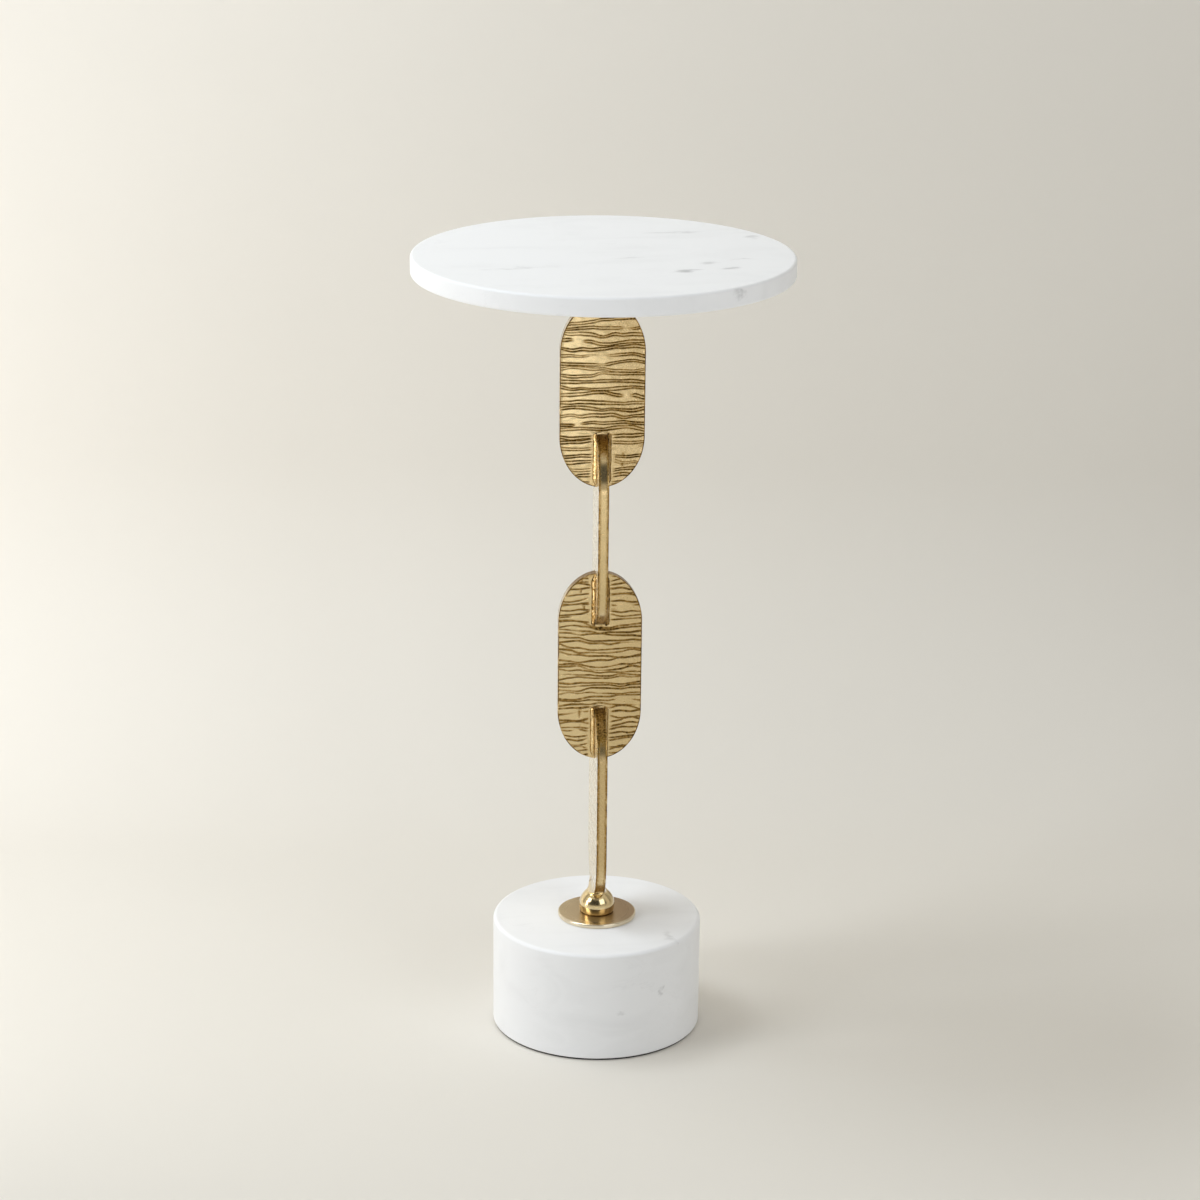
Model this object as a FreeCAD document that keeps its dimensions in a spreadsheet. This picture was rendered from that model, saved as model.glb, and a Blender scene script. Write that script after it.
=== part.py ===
import FreeCAD, Part
import math
import os
import Sketcher
from FreeCAD import Placement, Rotation, Vector

# Wine table: a thin marble disc on a stem of four oval cast brass links, crossed at right angles,
# on a heavy marble cylinder. Millimetres, +Z up, origin at the centre of the pad's underside.
# The upper and third links lie in the XZ plane, the second and lowest in the YZ plane.

SIZES = {
    # Marble top
    "top_diameter": 254.0,
    "top_thickness": 13.0,
    "top_edge_radius": 2.0,
    # Brass plate under the top, with its screws and bonded inserts
    "mount_plate_diameter": 100.0,
    "mount_plate_thickness": 3.0,
    "mount_plate_edge_radius": 0.8,
    "screw_circle_diameter": 76.0,
    "screw_diameter": 5.0,
    "screw_head_diameter": 9.2,
    "screw_grip": 6.5,
    "screw_socket_width": 3.0,
    "screw_socket_depth": 1.6,
    "screw_hole_gap": 0.25,
    "insert_diameter": 8.0,
    "insert_length": 8.0,
    "bond_gap": 0.1,
    # Stud and thin nut between the head boss and the plate
    "stud_diameter": 8.0,
    "stud_depth": 10.5,
    "stud_projection": 0.6,
    "stud_nut_width": 13.0,
    "stud_nut_height": 4.0,
    "stud_nut_gap": 1.0,
    # Oval links
    "link_length": 134.0,
    "upper_link_length": 127.5,
    "lowest_link_length": 137.5,
    "link_width": 57.0,
    "link_thickness": 7.0,
    "link_rise": 35.0,
    "link_pitch": 96.75,
    "link_edge_radius": 1.2,
    "slot_clearance": 0.1,
    # Brazed fillets at the crossings
    "braze_leg": 4.5,
    "braze_hollow": 0.8,
    # Bosses at both ends of the stem
    "boss_radius": 12.3,
    "boss_waist_height": 4.5,
    "boss_dome_radius": 14.0,
    "boss_neck_radius": 5.2,
    "boss_height": 23.0,
    "foot_seat": 13.5,
    "head_seat": 14.85,
    # Brass flange on the base
    "flange_diameter": 54.0,
    "flange_thickness": 3.0,
    "flange_edge_radius": 0.5,
    # Marble base with its counterbore
    "base_diameter": 144.0,
    "base_height": 77.2,
    "base_top_edge_radius": 3.5,
    "base_bottom_edge_radius": 1.5,
    "counterbore_diameter": 42.0,
    "counterbore_depth": 20.0,
    # Threaded rod, washers and nut that clamp the base
    "rod_diameter": 10.0,
    "rod_depth": 11.5,
    "rod_hole_gap": 1.0,
    "rod_projection": 3.0,
    "thread_clearance": 0.05,
    "washer_diameter": 30.0,
    "washer_thickness": 2.5,
    "washer_gap": 0.25,
    "lock_washer_diameter": 18.0,
    "lock_washer_thickness": 2.2,
    "lock_washer_slit": 2.0,
    "nut_width": 17.0,
    "nut_height": 8.4,
    # Felt pad
    "pad_thickness": 1.2,
    "pad_inset": 1.5,
    "pad_edge_radius": 0.3,
}
SCREW_COUNT = 4
HEXAGON = 6
UP = Vector(0, 0, 1)
# Points of a sketch element: its start, its end and its centre
START, END, CENTRE = range(1, 4)
ORIGIN = (-1, 1)
UPRIGHT_AXIS = -2
# Heights and radii closer than this count as the same
SAME = 1e-4

doc = FreeCAD.newDocument("wine_table")
sheet = doc.addObject("Spreadsheet::Sheet", "sizes")
for row, (alias, value) in enumerate(SIZES.items(), start=1):
    sheet.set(f"A{row}", alias)
    sheet.set(f"B{row}", str(value))
    sheet.setAlias(f"B{row}", alias)
doc.recompute()

# Heights of the stack, from the floor up
BASE_BOTTOM = "sizes.pad_thickness"
BASE_TOP = f"{BASE_BOTTOM} + sizes.base_height"
FLANGE_TOP = f"{BASE_TOP} + sizes.flange_thickness"
FOOT_TIP = f"{FLANGE_TOP} + sizes.foot_seat"
STEM_FOOT = f"{FOOT_TIP} + sizes.lowest_link_length - sizes.link_length"
HEAD_TIP = f"{STEM_FOOT} + 3 * sizes.link_pitch + sizes.upper_link_length"
PLATE_BOTTOM = f"{HEAD_TIP} + sizes.head_seat"
TOP_BOTTOM = f"{PLATE_BOTTOM} + sizes.mount_plate_thickness"
COUNTERBORE_TOP = f"{BASE_BOTTOM} + sizes.counterbore_depth"
WASHER_BOTTOM = f"{COUNTERBORE_TOP} - sizes.washer_thickness"
LOCK_WASHER_BOTTOM = f"{WASHER_BOTTOM} - sizes.lock_washer_thickness"
NUT_BOTTOM = f"{LOCK_WASHER_BOTTOM} - sizes.nut_height"
ROD_BOTTOM = f"{NUT_BOTTOM} - sizes.rod_projection"

# Lengths that several pieces share
SLOT_DEPTH = "(sizes.link_length - sizes.link_pitch) / 2"
SLOT_WIDTH = "sizes.link_thickness + 2 * sizes.slot_clearance"
SCREW_HOLE = "sizes.screw_diameter + 2 * sizes.screw_hole_gap"
NUT_CORNERS = f"sizes.stud_nut_width / cos(180 deg / {HEXAGON})"


def mm(expression):
    """The present value of an expression of the sheet's sizes."""
    return float(doc.sizes.evalExpression(expression))


def new_body(name, height, turn=0, flip=False):
    """A named body whose own origin stands at a height, turned about Z or upside down."""
    body = doc.addObject("PartDesign::Body", name)
    tilt = Rotation(Vector(1, 0, 0), 180 if flip else 0)
    body.Placement = Placement(Vector(), Rotation(UP, turn).multiply(tilt))
    body.setExpression("Placement.Base.z", height)
    return body


def new_sketch(body, name, plane, offset="0"):
    """A sketch on one of the body's origin planes, moved along the plane's normal."""
    sketch = body.newObject("Sketcher::SketchObject", name)
    support = next(item for item in body.Origin.OriginFeatures if item.Role == plane)
    sketch.AttachmentSupport = [(support, "")]
    sketch.MapMode = "FlatFace"
    sketch.setExpression("AttachmentOffset.Base.z", offset)
    return sketch


def dimension(sketch, expression, kind, *where):
    """One dimension of a sketch, bound to the sheet."""
    index = sketch.addConstraint(Sketcher.Constraint(kind, *where, mm(expression)))
    sketch.setExpression(f"Constraints[{index}]", expression)


def tie(sketch, kind, *where):
    """One geometric constraint of a sketch."""
    sketch.addConstraint(Sketcher.Constraint(kind, *where))


def circle(body, name, diameter, offset="0", right="0"):
    """A circle on a level plane, its centre on the X axis."""
    sketch = new_sketch(body, name, "XY_Plane", offset)
    sketch.addGeometry(Part.Circle(Vector(mm(right), 0, 0), UP, mm(diameter) / 2))
    dimension(sketch, diameter, "Diameter", 0)
    dimension(sketch, right, "DistanceX", *ORIGIN, 0, CENTRE)
    tie(sketch, "PointOnObject", 0, CENTRE, -1)
    return sketch


def pad(body, sketch, length):
    """Solid from a sketch, along its normal."""
    feature = body.newObject("PartDesign::Pad", f"{sketch.Name}_pad")
    feature.Profile = sketch
    feature.setExpression("Length", length)
    doc.recompute()
    return feature


def pocket(body, sketch, depth, upwards=False, both_ways=False):
    """Cut from a sketch, to a depth or evenly to both sides, which has to take metal away."""
    before = body.Shape.Volume
    feature = body.newObject("PartDesign::Pocket", f"{sketch.Name}_cut")
    feature.Profile = sketch
    feature.setExpression("Length", depth)
    feature.Reversed = upwards
    if both_ways:
        feature.SideType = "Symmetric"
    doc.recompute()
    if not body.Shape.Volume < before:
        raise RuntimeError(f"{feature.Name} cuts nothing")
    return feature


def ease(body, name, radius, chosen, kind="Fillet"):
    """Round or bevel the edges of the body so far that the test picks."""
    base = body.Tip
    names = [f"Edge{n}" for n, edge in enumerate(base.Shape.Edges, start=1) if chosen(edge)]
    feature = body.newObject(f"PartDesign::{kind}", name)
    feature.Base = (base, names)
    feature.setExpression("Radius" if kind == "Fillet" else "Size", radius)
    doc.recompute()
    return feature


def level_at(height):
    """Test for an edge that lies level at a height of its body's own frame."""
    return lambda edge: all(abs(vertex.Z - height) < SAME for vertex in edge.Vertexes) and (
        abs(edge.CenterOfMass.z - height) < SAME)


def disc(name, height, diameter, thickness, lower_radius, upper_radius):
    """A round plate with eased rims."""
    body = new_body(name, height)
    pad(body, circle(body, f"{name}_outline", diameter), thickness)
    ease(body, f"{name}_lower_rim", lower_radius, level_at(0))
    ease(body, f"{name}_upper_rim", upper_radius, level_at(mm(thickness)))
    return body


def bore(body, name, diameter, depth, offset="0", right="0"):
    """A round hole upwards from a level of the body's own frame."""
    return pocket(body, circle(body, f"{body.Name}_{name}", diameter, offset, right), depth, upwards=True)


def around(body, feature):
    """Repeat a feature for each screw of the circle."""
    pattern = body.newObject("PartDesign::PolarPattern", f"{feature.Name}_pattern")
    pattern.Originals = [feature]
    pattern.Axis = (next(item for item in body.Origin.OriginFeatures if item.Role == "Z_Axis"), [""])
    pattern.Angle = 360
    pattern.Occurrences = SCREW_COUNT
    body.Tip = pattern
    doc.recompute()


def oval(body, name, length, width, rise, centre="0"):
    """Upright oval on the XZ plane: straight sides, with half an ellipse at each end."""
    sketch = new_sketch(body, name, "XZ_Plane")
    half_width, reach, middle = mm(width) / 2, mm(rise), mm(centre)
    tall = reach > half_width
    shoulder = mm(length) / 2 - reach
    for way in (1, -1):
        hub = Vector(0, middle + way * shoulder, 0)
        top = hub + Vector(0, reach, 0)
        right = hub + Vector(half_width, 0, 0)
        left = hub - Vector(half_width, 0, 0)
        outline = Part.Ellipse(top, left, hub) if tall else Part.Ellipse(right, top, hub)
        ends = [outline.parameter(point) for point in ((right, left) if way == 1 else (left, right))]
        arc = sketch.addGeometry(Part.ArcOfEllipse(outline, *ends))
        long_axis = arc + 1
        short_axis = arc + 2
        sketch.exposeInternalGeometry(arc)
        level, upright = (short_axis, long_axis) if tall else (long_axis, short_axis)
        tie(sketch, "Horizontal", level)
        dimension(sketch, width, "Distance", level)
        dimension(sketch, f"2 * ({rise})", "Distance", upright)
        tie(sketch, "PointOnObject", arc, START, level)
        tie(sketch, "PointOnObject", arc, END, level)
        tie(sketch, "PointOnObject", arc, CENTRE, UPRIGHT_AXIS)
        if way == 1:
            upper = arc
            dimension(sketch, f"{centre} + ({length}) / 2 - ({rise})", "DistanceY", *ORIGIN, arc, CENTRE)
        else:
            dimension(sketch, f"{length} - 2 * ({rise})", "DistanceY", arc, CENTRE, upper, CENTRE)
    for this_end, other_end in ((START, END), (END, START)):
        side = sketch.addGeometry(Part.LineSegment(
            sketch.getPoint(upper, this_end), sketch.getPoint(arc, other_end)))
        tie(sketch, "Coincident", upper, this_end, side, START)
        tie(sketch, "Coincident", side, END, arc, other_end)
    return sketch


def slot(body, name, foot, depth):
    """Upright slot of a halved joint on the XZ plane, from a level upwards."""
    sketch = new_sketch(body, name, "XZ_Plane")
    left, right = -mm(SLOT_WIDTH) / 2, mm(SLOT_WIDTH) / 2
    low, high = mm(foot), mm(foot) + mm(depth)
    corners = [Vector(left, low, 0), Vector(right, low, 0), Vector(right, high, 0), Vector(left, high, 0)]
    for n in range(4):
        sketch.addGeometry(Part.LineSegment(corners[n], corners[(n + 1) % 4]))
    for n in range(4):
        tie(sketch, "Coincident", n, END, (n + 1) % 4, START)
    tie(sketch, "Symmetric", 0, START, 0, END, UPRIGHT_AXIS)
    tie(sketch, "Vertical", 1)
    tie(sketch, "Horizontal", 2)
    tie(sketch, "Vertical", 3)
    dimension(sketch, SLOT_WIDTH, "Distance", 0)
    dimension(sketch, depth, "Distance", 1)
    if low < 0:
        dimension(sketch, f"-({foot})", "DistanceY", 0, START, *ORIGIN)
    else:
        dimension(sketch, foot, "DistanceY", *ORIGIN, 0, START)
    pocket(body, sketch, "2 * sizes.link_thickness", both_ways=True)


def link(name, length, foot, turn, lower_slot, upper_slot):
    """A cast oval link, halved at the ends where it crosses its neighbours."""
    body = new_body(name, f"{foot} + {length} / 2", turn)
    plate = pad(body, oval(body, f"{name}_outline", length, "sizes.link_width", "sizes.link_rise"),
                "sizes.link_thickness")
    plate.SideType = "Symmetric"
    doc.recompute()
    face = mm("sizes.link_thickness") / 2
    ease(body, f"{name}_rim", "sizes.link_edge_radius",
         lambda edge: abs(abs(edge.CenterOfMass.y) - face) < SAME)
    if lower_slot:
        slot(body, f"{name}_lower_slot", f"-{length} / 2", SLOT_DEPTH)
    if upper_slot:
        slot(body, f"{name}_upper_slot", f"{length} / 2 - ({SLOT_DEPTH})", SLOT_DEPTH)
    return body


def braze_bead(name):
    """Hollow-faced fillet that runs up beside a link, over its tip and down again.

    It lies against the face Y = -thickness / 2 of the other link, with its feet at mid-joint.
    """
    body = doc.addObject("PartDesign::Body", name)
    half, leg = "sizes.link_thickness / 2", "sizes.braze_leg"
    inner = -mm(half)
    outer = inner - mm(leg)
    between = (inner + outer) / 2
    dip = mm("sizes.braze_hollow") / math.sqrt(2)
    section = new_sketch(body, f"{name}_section", "XY_Plane")
    section.addGeometry(Part.LineSegment(Vector(outer, inner, 0), Vector(inner, inner, 0)))
    section.addGeometry(Part.LineSegment(Vector(inner, inner, 0), Vector(inner, outer, 0)))
    section.addGeometry(Part.Arc(
        Vector(inner, outer, 0), Vector(between + dip, between + dip, 0), Vector(outer, inner, 0)))
    tie(section, "Coincident", 0, END, 1, START)
    tie(section, "Horizontal", 0)
    tie(section, "Vertical", 1)
    tie(section, "Coincident", 1, END, 2, START)
    tie(section, "Coincident", 2, END, 0, START)
    dimension(section, leg, "Distance", 0)
    dimension(section, leg, "Distance", 1)
    dimension(section, half, "DistanceX", 0, END, *ORIGIN)
    dimension(section, half, "DistanceY", 0, END, *ORIGIN)
    chord = f"sqrt(2) * {leg}"
    dimension(section, f"(({chord} / 2)^2 + sizes.braze_hollow^2) / (2 * sizes.braze_hollow)", "Radius", 2)

    corner = "sizes.link_edge_radius"
    path = new_sketch(body, f"{name}_path", "XZ_Plane", half)
    side, top, bend = mm(half), mm(SLOT_DEPTH), mm(corner)
    path.addGeometry(Part.LineSegment(Vector(-side, 0, 0), Vector(-side, top - bend, 0)))
    path.addGeometry(Part.ArcOfCircle(
        Part.Circle(Vector(bend - side, top - bend, 0), UP, bend), math.pi / 2, math.pi))
    path.addGeometry(Part.LineSegment(Vector(bend - side, top, 0), Vector(side - bend, top, 0)))
    path.addGeometry(Part.ArcOfCircle(
        Part.Circle(Vector(side - bend, top - bend, 0), UP, bend), 0, math.pi / 2))
    path.addGeometry(Part.LineSegment(Vector(side, top - bend, 0), Vector(side, 0, 0)))
    tie(path, "Tangent", 0, END, 1, END)
    tie(path, "Tangent", 1, START, 2, START)
    tie(path, "Tangent", 2, END, 3, END)
    tie(path, "Tangent", 3, START, 4, START)
    tie(path, "Vertical", 0)
    tie(path, "Horizontal", 2)
    tie(path, "Vertical", 4)
    tie(path, "Symmetric", 0, START, 4, END, UPRIGHT_AXIS)
    tie(path, "Equal", 1, 3)
    tie(path, "PointOnObject", 0, START, -1)
    dimension(path, corner, "Radius", 1)
    dimension(path, f"2 * {half}", "DistanceX", 0, START, 4, END)
    dimension(path, SLOT_DEPTH, "DistanceY", *ORIGIN, 2, START)

    bead = body.newObject("PartDesign::AdditivePipe", f"{name}_pipe")
    bead.Profile = section
    bead.Spine = (path, [])
    doc.recompute()
    return body


def mirrored(source, name, normal):
    """Mirror image of an object through the origin."""
    image = doc.addObject("Part::Mirroring", name)
    image.Source = source
    image.Normal = normal
    return image


def braze(name, joint, turn):
    """Brazing metal of one crossing: beads over the lower link's tip in front and behind,
    and the same beads turned over, under the upper link's tip on both sides."""
    front = braze_bead(f"{name}_front")
    over = doc.addObject("Part::Compound", f"{name}_over")
    over.Links = [front, mirrored(front, f"{name}_rear", Vector(0, 1, 0))]
    turned = mirrored(mirrored(over, f"{name}_flipped", UP), f"{name}_under", Vector(1, -1, 0))
    whole = doc.addObject("Part::MultiFuse", name)
    whole.Shapes = [over, turned]
    whole.Placement = Placement(Vector(), Rotation(UP, turn))
    first = f"{STEM_FOOT} + (sizes.link_pitch + sizes.link_length) / 2"
    whole.setExpression("Placement.Base.z", f"{first} + {joint} * sizes.link_pitch")
    return whole


def boss(name, height, turn, flip, seat, link_length, thread, depth):
    """A ball-like boss with a flared neck, a slot for a link's tip and a threaded hole in its foot."""
    body = new_body(name, height, turn, flip)
    radius, waist, dome = mm("sizes.boss_radius"), mm("sizes.boss_waist_height"), mm("sizes.boss_dome_radius")
    neck, top = mm("sizes.boss_neck_radius"), mm("sizes.boss_height")
    # Above the waist, the dome's arc and the neck's hollow arc turn through one angle, so they meet smoothly.
    sweep = 2 * math.atan((radius - neck) / (top - waist))
    hollow = (top - waist) / math.sin(sweep) - dome
    tuck = math.asin(waist / dome)
    foot = radius - dome + dome * math.cos(tuck)
    profile = new_sketch(body, f"{name}_profile", "XZ_Plane")
    profile.addGeometry(Part.LineSegment(Vector(0, 0, 0), Vector(foot, 0, 0)))
    profile.addGeometry(Part.ArcOfCircle(
        Part.Circle(Vector(radius - dome, waist, 0), UP, dome), -tuck, sweep))
    profile.addGeometry(Part.ArcOfCircle(
        Part.Circle(Vector(neck + hollow, top, 0), UP, hollow), math.pi, math.pi + sweep))
    profile.addGeometry(Part.LineSegment(Vector(neck, top, 0), Vector(0, top, 0)))
    profile.addGeometry(Part.LineSegment(Vector(0, top, 0), Vector(0, 0, 0)))
    tie(profile, "Coincident", 0, START, *ORIGIN)
    tie(profile, "Coincident", 0, END, 1, START)
    tie(profile, "Tangent", 1, END, 2, END)
    tie(profile, "Coincident", 2, START, 3, START)
    tie(profile, "Coincident", 3, END, 4, START)
    tie(profile, "Coincident", 4, END, 0, START)
    tie(profile, "Horizontal", 0)
    tie(profile, "Horizontal", 3)
    tie(profile, "Vertical", 4)
    tie(profile, "Horizontal", 2, CENTRE, 2, START)
    dimension(profile, "sizes.boss_dome_radius", "Radius", 1)
    dimension(profile, "sizes.boss_dome_radius - sizes.boss_radius", "DistanceX", 1, CENTRE, *ORIGIN)
    dimension(profile, "sizes.boss_waist_height", "DistanceY", *ORIGIN, 1, CENTRE)
    dimension(profile, "sizes.boss_neck_radius", "Distance", 3)
    dimension(profile, "sizes.boss_height", "Distance", 4)
    turned = body.newObject("PartDesign::Revolution", f"{name}_turned")
    turned.Profile = profile
    turned.ReferenceAxis = (profile, ["V_Axis"])
    turned.Angle = 360
    doc.recompute()
    gap = "sizes.slot_clearance"
    tip = oval(body, f"{name}_seat", f"{link_length} + 2 * {gap}", f"sizes.link_width + 2 * {gap}",
               f"sizes.link_rise + {gap}", f"{seat} + {link_length} / 2")
    pocket(body, tip, SLOT_WIDTH, both_ways=True)
    bore(body, "thread", f"{thread} + 2 * sizes.thread_clearance", depth)
    return body


def round_bar(name, height, diameter, length, right="0", turn=0):
    """A plain round bar, upright, off the Z axis by a distance along a turned X axis."""
    bar = doc.addObject("Part::Cylinder", name)
    bar.setExpression("Radius", f"({diameter}) / 2")
    bar.setExpression("Height", length)
    bar.setExpression("Placement.Base.x", f"({right}) * cos({turn} deg)")
    bar.setExpression("Placement.Base.y", f"({right}) * sin({turn} deg)")
    bar.setExpression("Placement.Base.z", height)
    return bar


def hexagon_bar(name, height, width, length, right="0", turn=0):
    """A hexagonal bar, measured across its flats."""
    bar = doc.addObject("Part::Prism", name)
    bar.Polygon = HEXAGON
    bar.setExpression("Circumradius", f"({width}) / 2 / cos(180 deg / {HEXAGON})")
    bar.setExpression("Height", length)
    bar.setExpression("Placement.Base.x", f"({right}) * cos({turn} deg)")
    bar.setExpression("Placement.Base.y", f"({right}) * sin({turn} deg)")
    bar.setExpression("Placement.Base.z", height)
    return bar


def cut(name, base, tool):
    """One solid less another."""
    result = doc.addObject("Part::Cut", name)
    result.Base = base
    result.Tool = tool
    return result


def ring(name, height, outer, inner, length, **place):
    """A round tube or washer."""
    return cut(name, round_bar(f"{name}_outside", height, outer, length, **place),
               round_bar(f"{name}_hole", height, inner, length, **place))


def nut(name, height, width, thread, length):
    """A hexagon nut."""
    return cut(name, hexagon_bar(f"{name}_outside", height, width, length),
               round_bar(f"{name}_hole", height, f"{thread} + 2 * sizes.thread_clearance", length))


def screw(name, turn):
    """A countersunk screw with a hexagon socket, its head flush with the plate's underside."""
    place = {"right": "sizes.screw_circle_diameter / 2", "turn": turn}
    sink = "(sizes.screw_head_diameter - sizes.screw_diameter) / 2"
    shank = round_bar(f"{name}_shank", PLATE_BOTTOM, "sizes.screw_diameter",
                      "sizes.mount_plate_thickness + sizes.screw_grip", **place)
    head = doc.addObject("Part::Cone", f"{name}_head")
    head.setExpression("Radius1", "sizes.screw_head_diameter / 2")
    head.setExpression("Radius2", "sizes.screw_diameter / 2")
    head.setExpression("Height", sink)
    for axis in "xyz":
        head.setExpression(f"Placement.Base.{axis}", f"{shank.Name}.Placement.Base.{axis}")
    blank = doc.addObject("Part::Fuse", f"{name}_blank")
    blank.Base = head
    blank.Tool = shank
    socket = hexagon_bar(f"{name}_socket", PLATE_BOTTOM, "sizes.screw_socket_width",
                         "sizes.screw_socket_depth", **place)
    return cut(name, blank, socket)


def group(name, members):
    """Like pieces in one node, each its own solid."""
    result = doc.addObject("Part::Compound", name)
    result.Links = members
    return result


def marble_top():
    """Round slab with eased rims, blind holes for the inserts and a recess for the stud's nut."""
    body = disc("marble_top", TOP_BOTTOM, "sizes.top_diameter", "sizes.top_thickness",
                "sizes.top_edge_radius", "sizes.top_edge_radius")
    bore(body, "nut_recess", f"{NUT_CORNERS} + 2 * sizes.stud_nut_gap",
         "sizes.stud_nut_height + sizes.stud_projection + sizes.stud_nut_gap")
    hole = bore(body, "insert_hole", "sizes.insert_diameter + 2 * sizes.bond_gap",
                "sizes.insert_length + sizes.bond_gap", right="sizes.screw_circle_diameter / 2")
    around(body, hole)
    return body


def mount_plate():
    """Disc that carries the top, with countersunk holes from below."""
    body = disc("mount_plate", PLATE_BOTTOM, "sizes.mount_plate_diameter", "sizes.mount_plate_thickness",
                "sizes.mount_plate_edge_radius", "sizes.mount_plate_edge_radius")
    bore(body, "stud_hole", "sizes.stud_diameter + 2 * sizes.thread_clearance", "sizes.mount_plate_thickness")
    around(body, bore(body, "screw_hole", SCREW_HOLE, "sizes.mount_plate_thickness",
                      right="sizes.screw_circle_diameter / 2"))
    hole_radius = mm(SCREW_HOLE) / 2
    on_underside = level_at(0)
    ease(body, "countersinks", f"(sizes.screw_head_diameter - ({SCREW_HOLE})) / 2",
         lambda edge: on_underside(edge) and abs(edge.Curve.Radius - hole_radius) < SAME, "Chamfer")
    return body


def foot_flange():
    """Thin disc between the boss and the base."""
    body = disc("foot_flange", BASE_TOP, "sizes.flange_diameter", "sizes.flange_thickness",
                "sizes.flange_edge_radius", "sizes.flange_edge_radius")
    bore(body, "rod_hole", "sizes.rod_diameter + 2 * sizes.washer_gap", "sizes.flange_thickness")
    return body


def marble_base():
    """Heavy cylinder, bored for the rod and counterbored from below for the nut."""
    body = disc("marble_base", BASE_BOTTOM, "sizes.base_diameter", "sizes.base_height",
                "sizes.base_bottom_edge_radius", "sizes.base_top_edge_radius")
    bore(body, "rod_hole", "sizes.rod_diameter + 2 * sizes.rod_hole_gap", "sizes.base_height")
    bore(body, "counterbore", "sizes.counterbore_diameter", "sizes.counterbore_depth")
    return body


def lock_washer():
    """Spring washer, split on one side."""
    washer = ring("lock_washer_ring", LOCK_WASHER_BOTTOM, "sizes.lock_washer_diameter",
                  "sizes.rod_diameter + 2 * sizes.washer_gap", "sizes.lock_washer_thickness")
    slit = doc.addObject("Part::Box", "lock_washer_slit")
    slit.setExpression("Length", "sizes.lock_washer_diameter")
    slit.setExpression("Width", "sizes.lock_washer_slit")
    slit.setExpression("Height", "sizes.lock_washer_thickness")
    slit.setExpression("Placement.Base.y", "-sizes.lock_washer_slit / 2")
    slit.setExpression("Placement.Base.z", LOCK_WASHER_BOTTOM)
    return cut("lock_washer", washer, slit)


def fastened_top():
    """The top's screws, inserts, stud and nut."""
    turns = [n * 360 / SCREW_COUNT for n in range(SCREW_COUNT)]
    circle_radius = "sizes.screw_circle_diameter / 2"
    screws = [screw(f"screw_{n}", turn) for n, turn in enumerate(turns, start=1)]
    inserts = [ring(f"insert_{n}", TOP_BOTTOM, "sizes.insert_diameter",
                    "sizes.screw_diameter + 2 * sizes.thread_clearance", "sizes.insert_length",
                    right=circle_radius, turn=turn) for n, turn in enumerate(turns, start=1)]
    stud = round_bar("top_stud", f"{PLATE_BOTTOM} - sizes.stud_depth", "sizes.stud_diameter",
                     "sizes.stud_depth + sizes.mount_plate_thickness + sizes.stud_nut_height"
                     " + sizes.stud_projection")
    thin_nut = nut("stud_nut", TOP_BOTTOM, "sizes.stud_nut_width", "sizes.stud_diameter",
                   "sizes.stud_nut_height")
    return [group("top_screws", screws), group("top_inserts", inserts), stud, thin_nut]


def stem():
    """Two bosses, four links and the brazing metal of their three crossings."""
    second = f"{STEM_FOOT} + sizes.link_pitch"
    third = f"{STEM_FOOT} + 2 * sizes.link_pitch"
    highest = f"{STEM_FOOT} + 3 * sizes.link_pitch"
    return [
        boss("foot_boss", FLANGE_TOP, 90, False, "sizes.foot_seat", "sizes.lowest_link_length",
             "sizes.rod_diameter", "sizes.rod_depth"),
        link("lowest_link", "sizes.lowest_link_length", FOOT_TIP, 90, False, True),
        link("third_link", "sizes.link_length", second, 0, True, True),
        link("second_link", "sizes.link_length", third, 90, True, True),
        link("upper_link", "sizes.upper_link_length", highest, 0, True, False),
        boss("head_boss", PLATE_BOTTOM, 0, True, "sizes.head_seat", "sizes.upper_link_length",
             "sizes.stud_diameter", "sizes.stud_depth"),
        braze("lower_braze", 0, 0),
        braze("middle_braze", 1, 90),
        braze("upper_braze", 2, 0),
    ]


def clamped_base():
    """The base's rod, washers and nut."""
    rod = round_bar("tie_rod", ROD_BOTTOM, "sizes.rod_diameter",
                    f"{FLANGE_TOP} + sizes.rod_depth - ({ROD_BOTTOM})")
    washer = ring("base_washer", WASHER_BOTTOM, "sizes.washer_diameter",
                  "sizes.rod_diameter + 2 * sizes.washer_gap", "sizes.washer_thickness")
    return [rod, washer, lock_washer(),
            nut("base_nut", NUT_BOTTOM, "sizes.nut_width", "sizes.rod_diameter", "sizes.nut_height")]


pieces = [
    disc("base_pad", "0", "sizes.base_diameter - 2 * sizes.pad_inset", "sizes.pad_thickness",
         "sizes.pad_edge_radius", "sizes.pad_edge_radius"),
    marble_base(),
    *clamped_base(),
    foot_flange(),
    *stem(),
    mount_plate(),
    *fastened_top(),
    marble_top(),
]
doc.recompute()

for item in doc.Objects:
    if {"Invalid", "Error"} & set(item.State):
        raise RuntimeError(f"{item.Name} failed: {item.State}")
for piece in pieces:
    if piece.Shape.isNull() or not piece.Shape.Solids or not piece.Shape.isValid():
        raise RuntimeError(f"{piece.Label} has no valid solid")
os.makedirs("parts", exist_ok=True)
for piece in pieces:
    piece.Shape.exportStep(f"parts/{piece.Label}.step")
    print(piece.Label, len(piece.Shape.Solids), "solids", round(piece.Shape.Volume, 1), "mm3")
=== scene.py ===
import math
from typing import NamedTuple

import bpy
import numpy as np
from mathutils import Matrix, Vector


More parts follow.
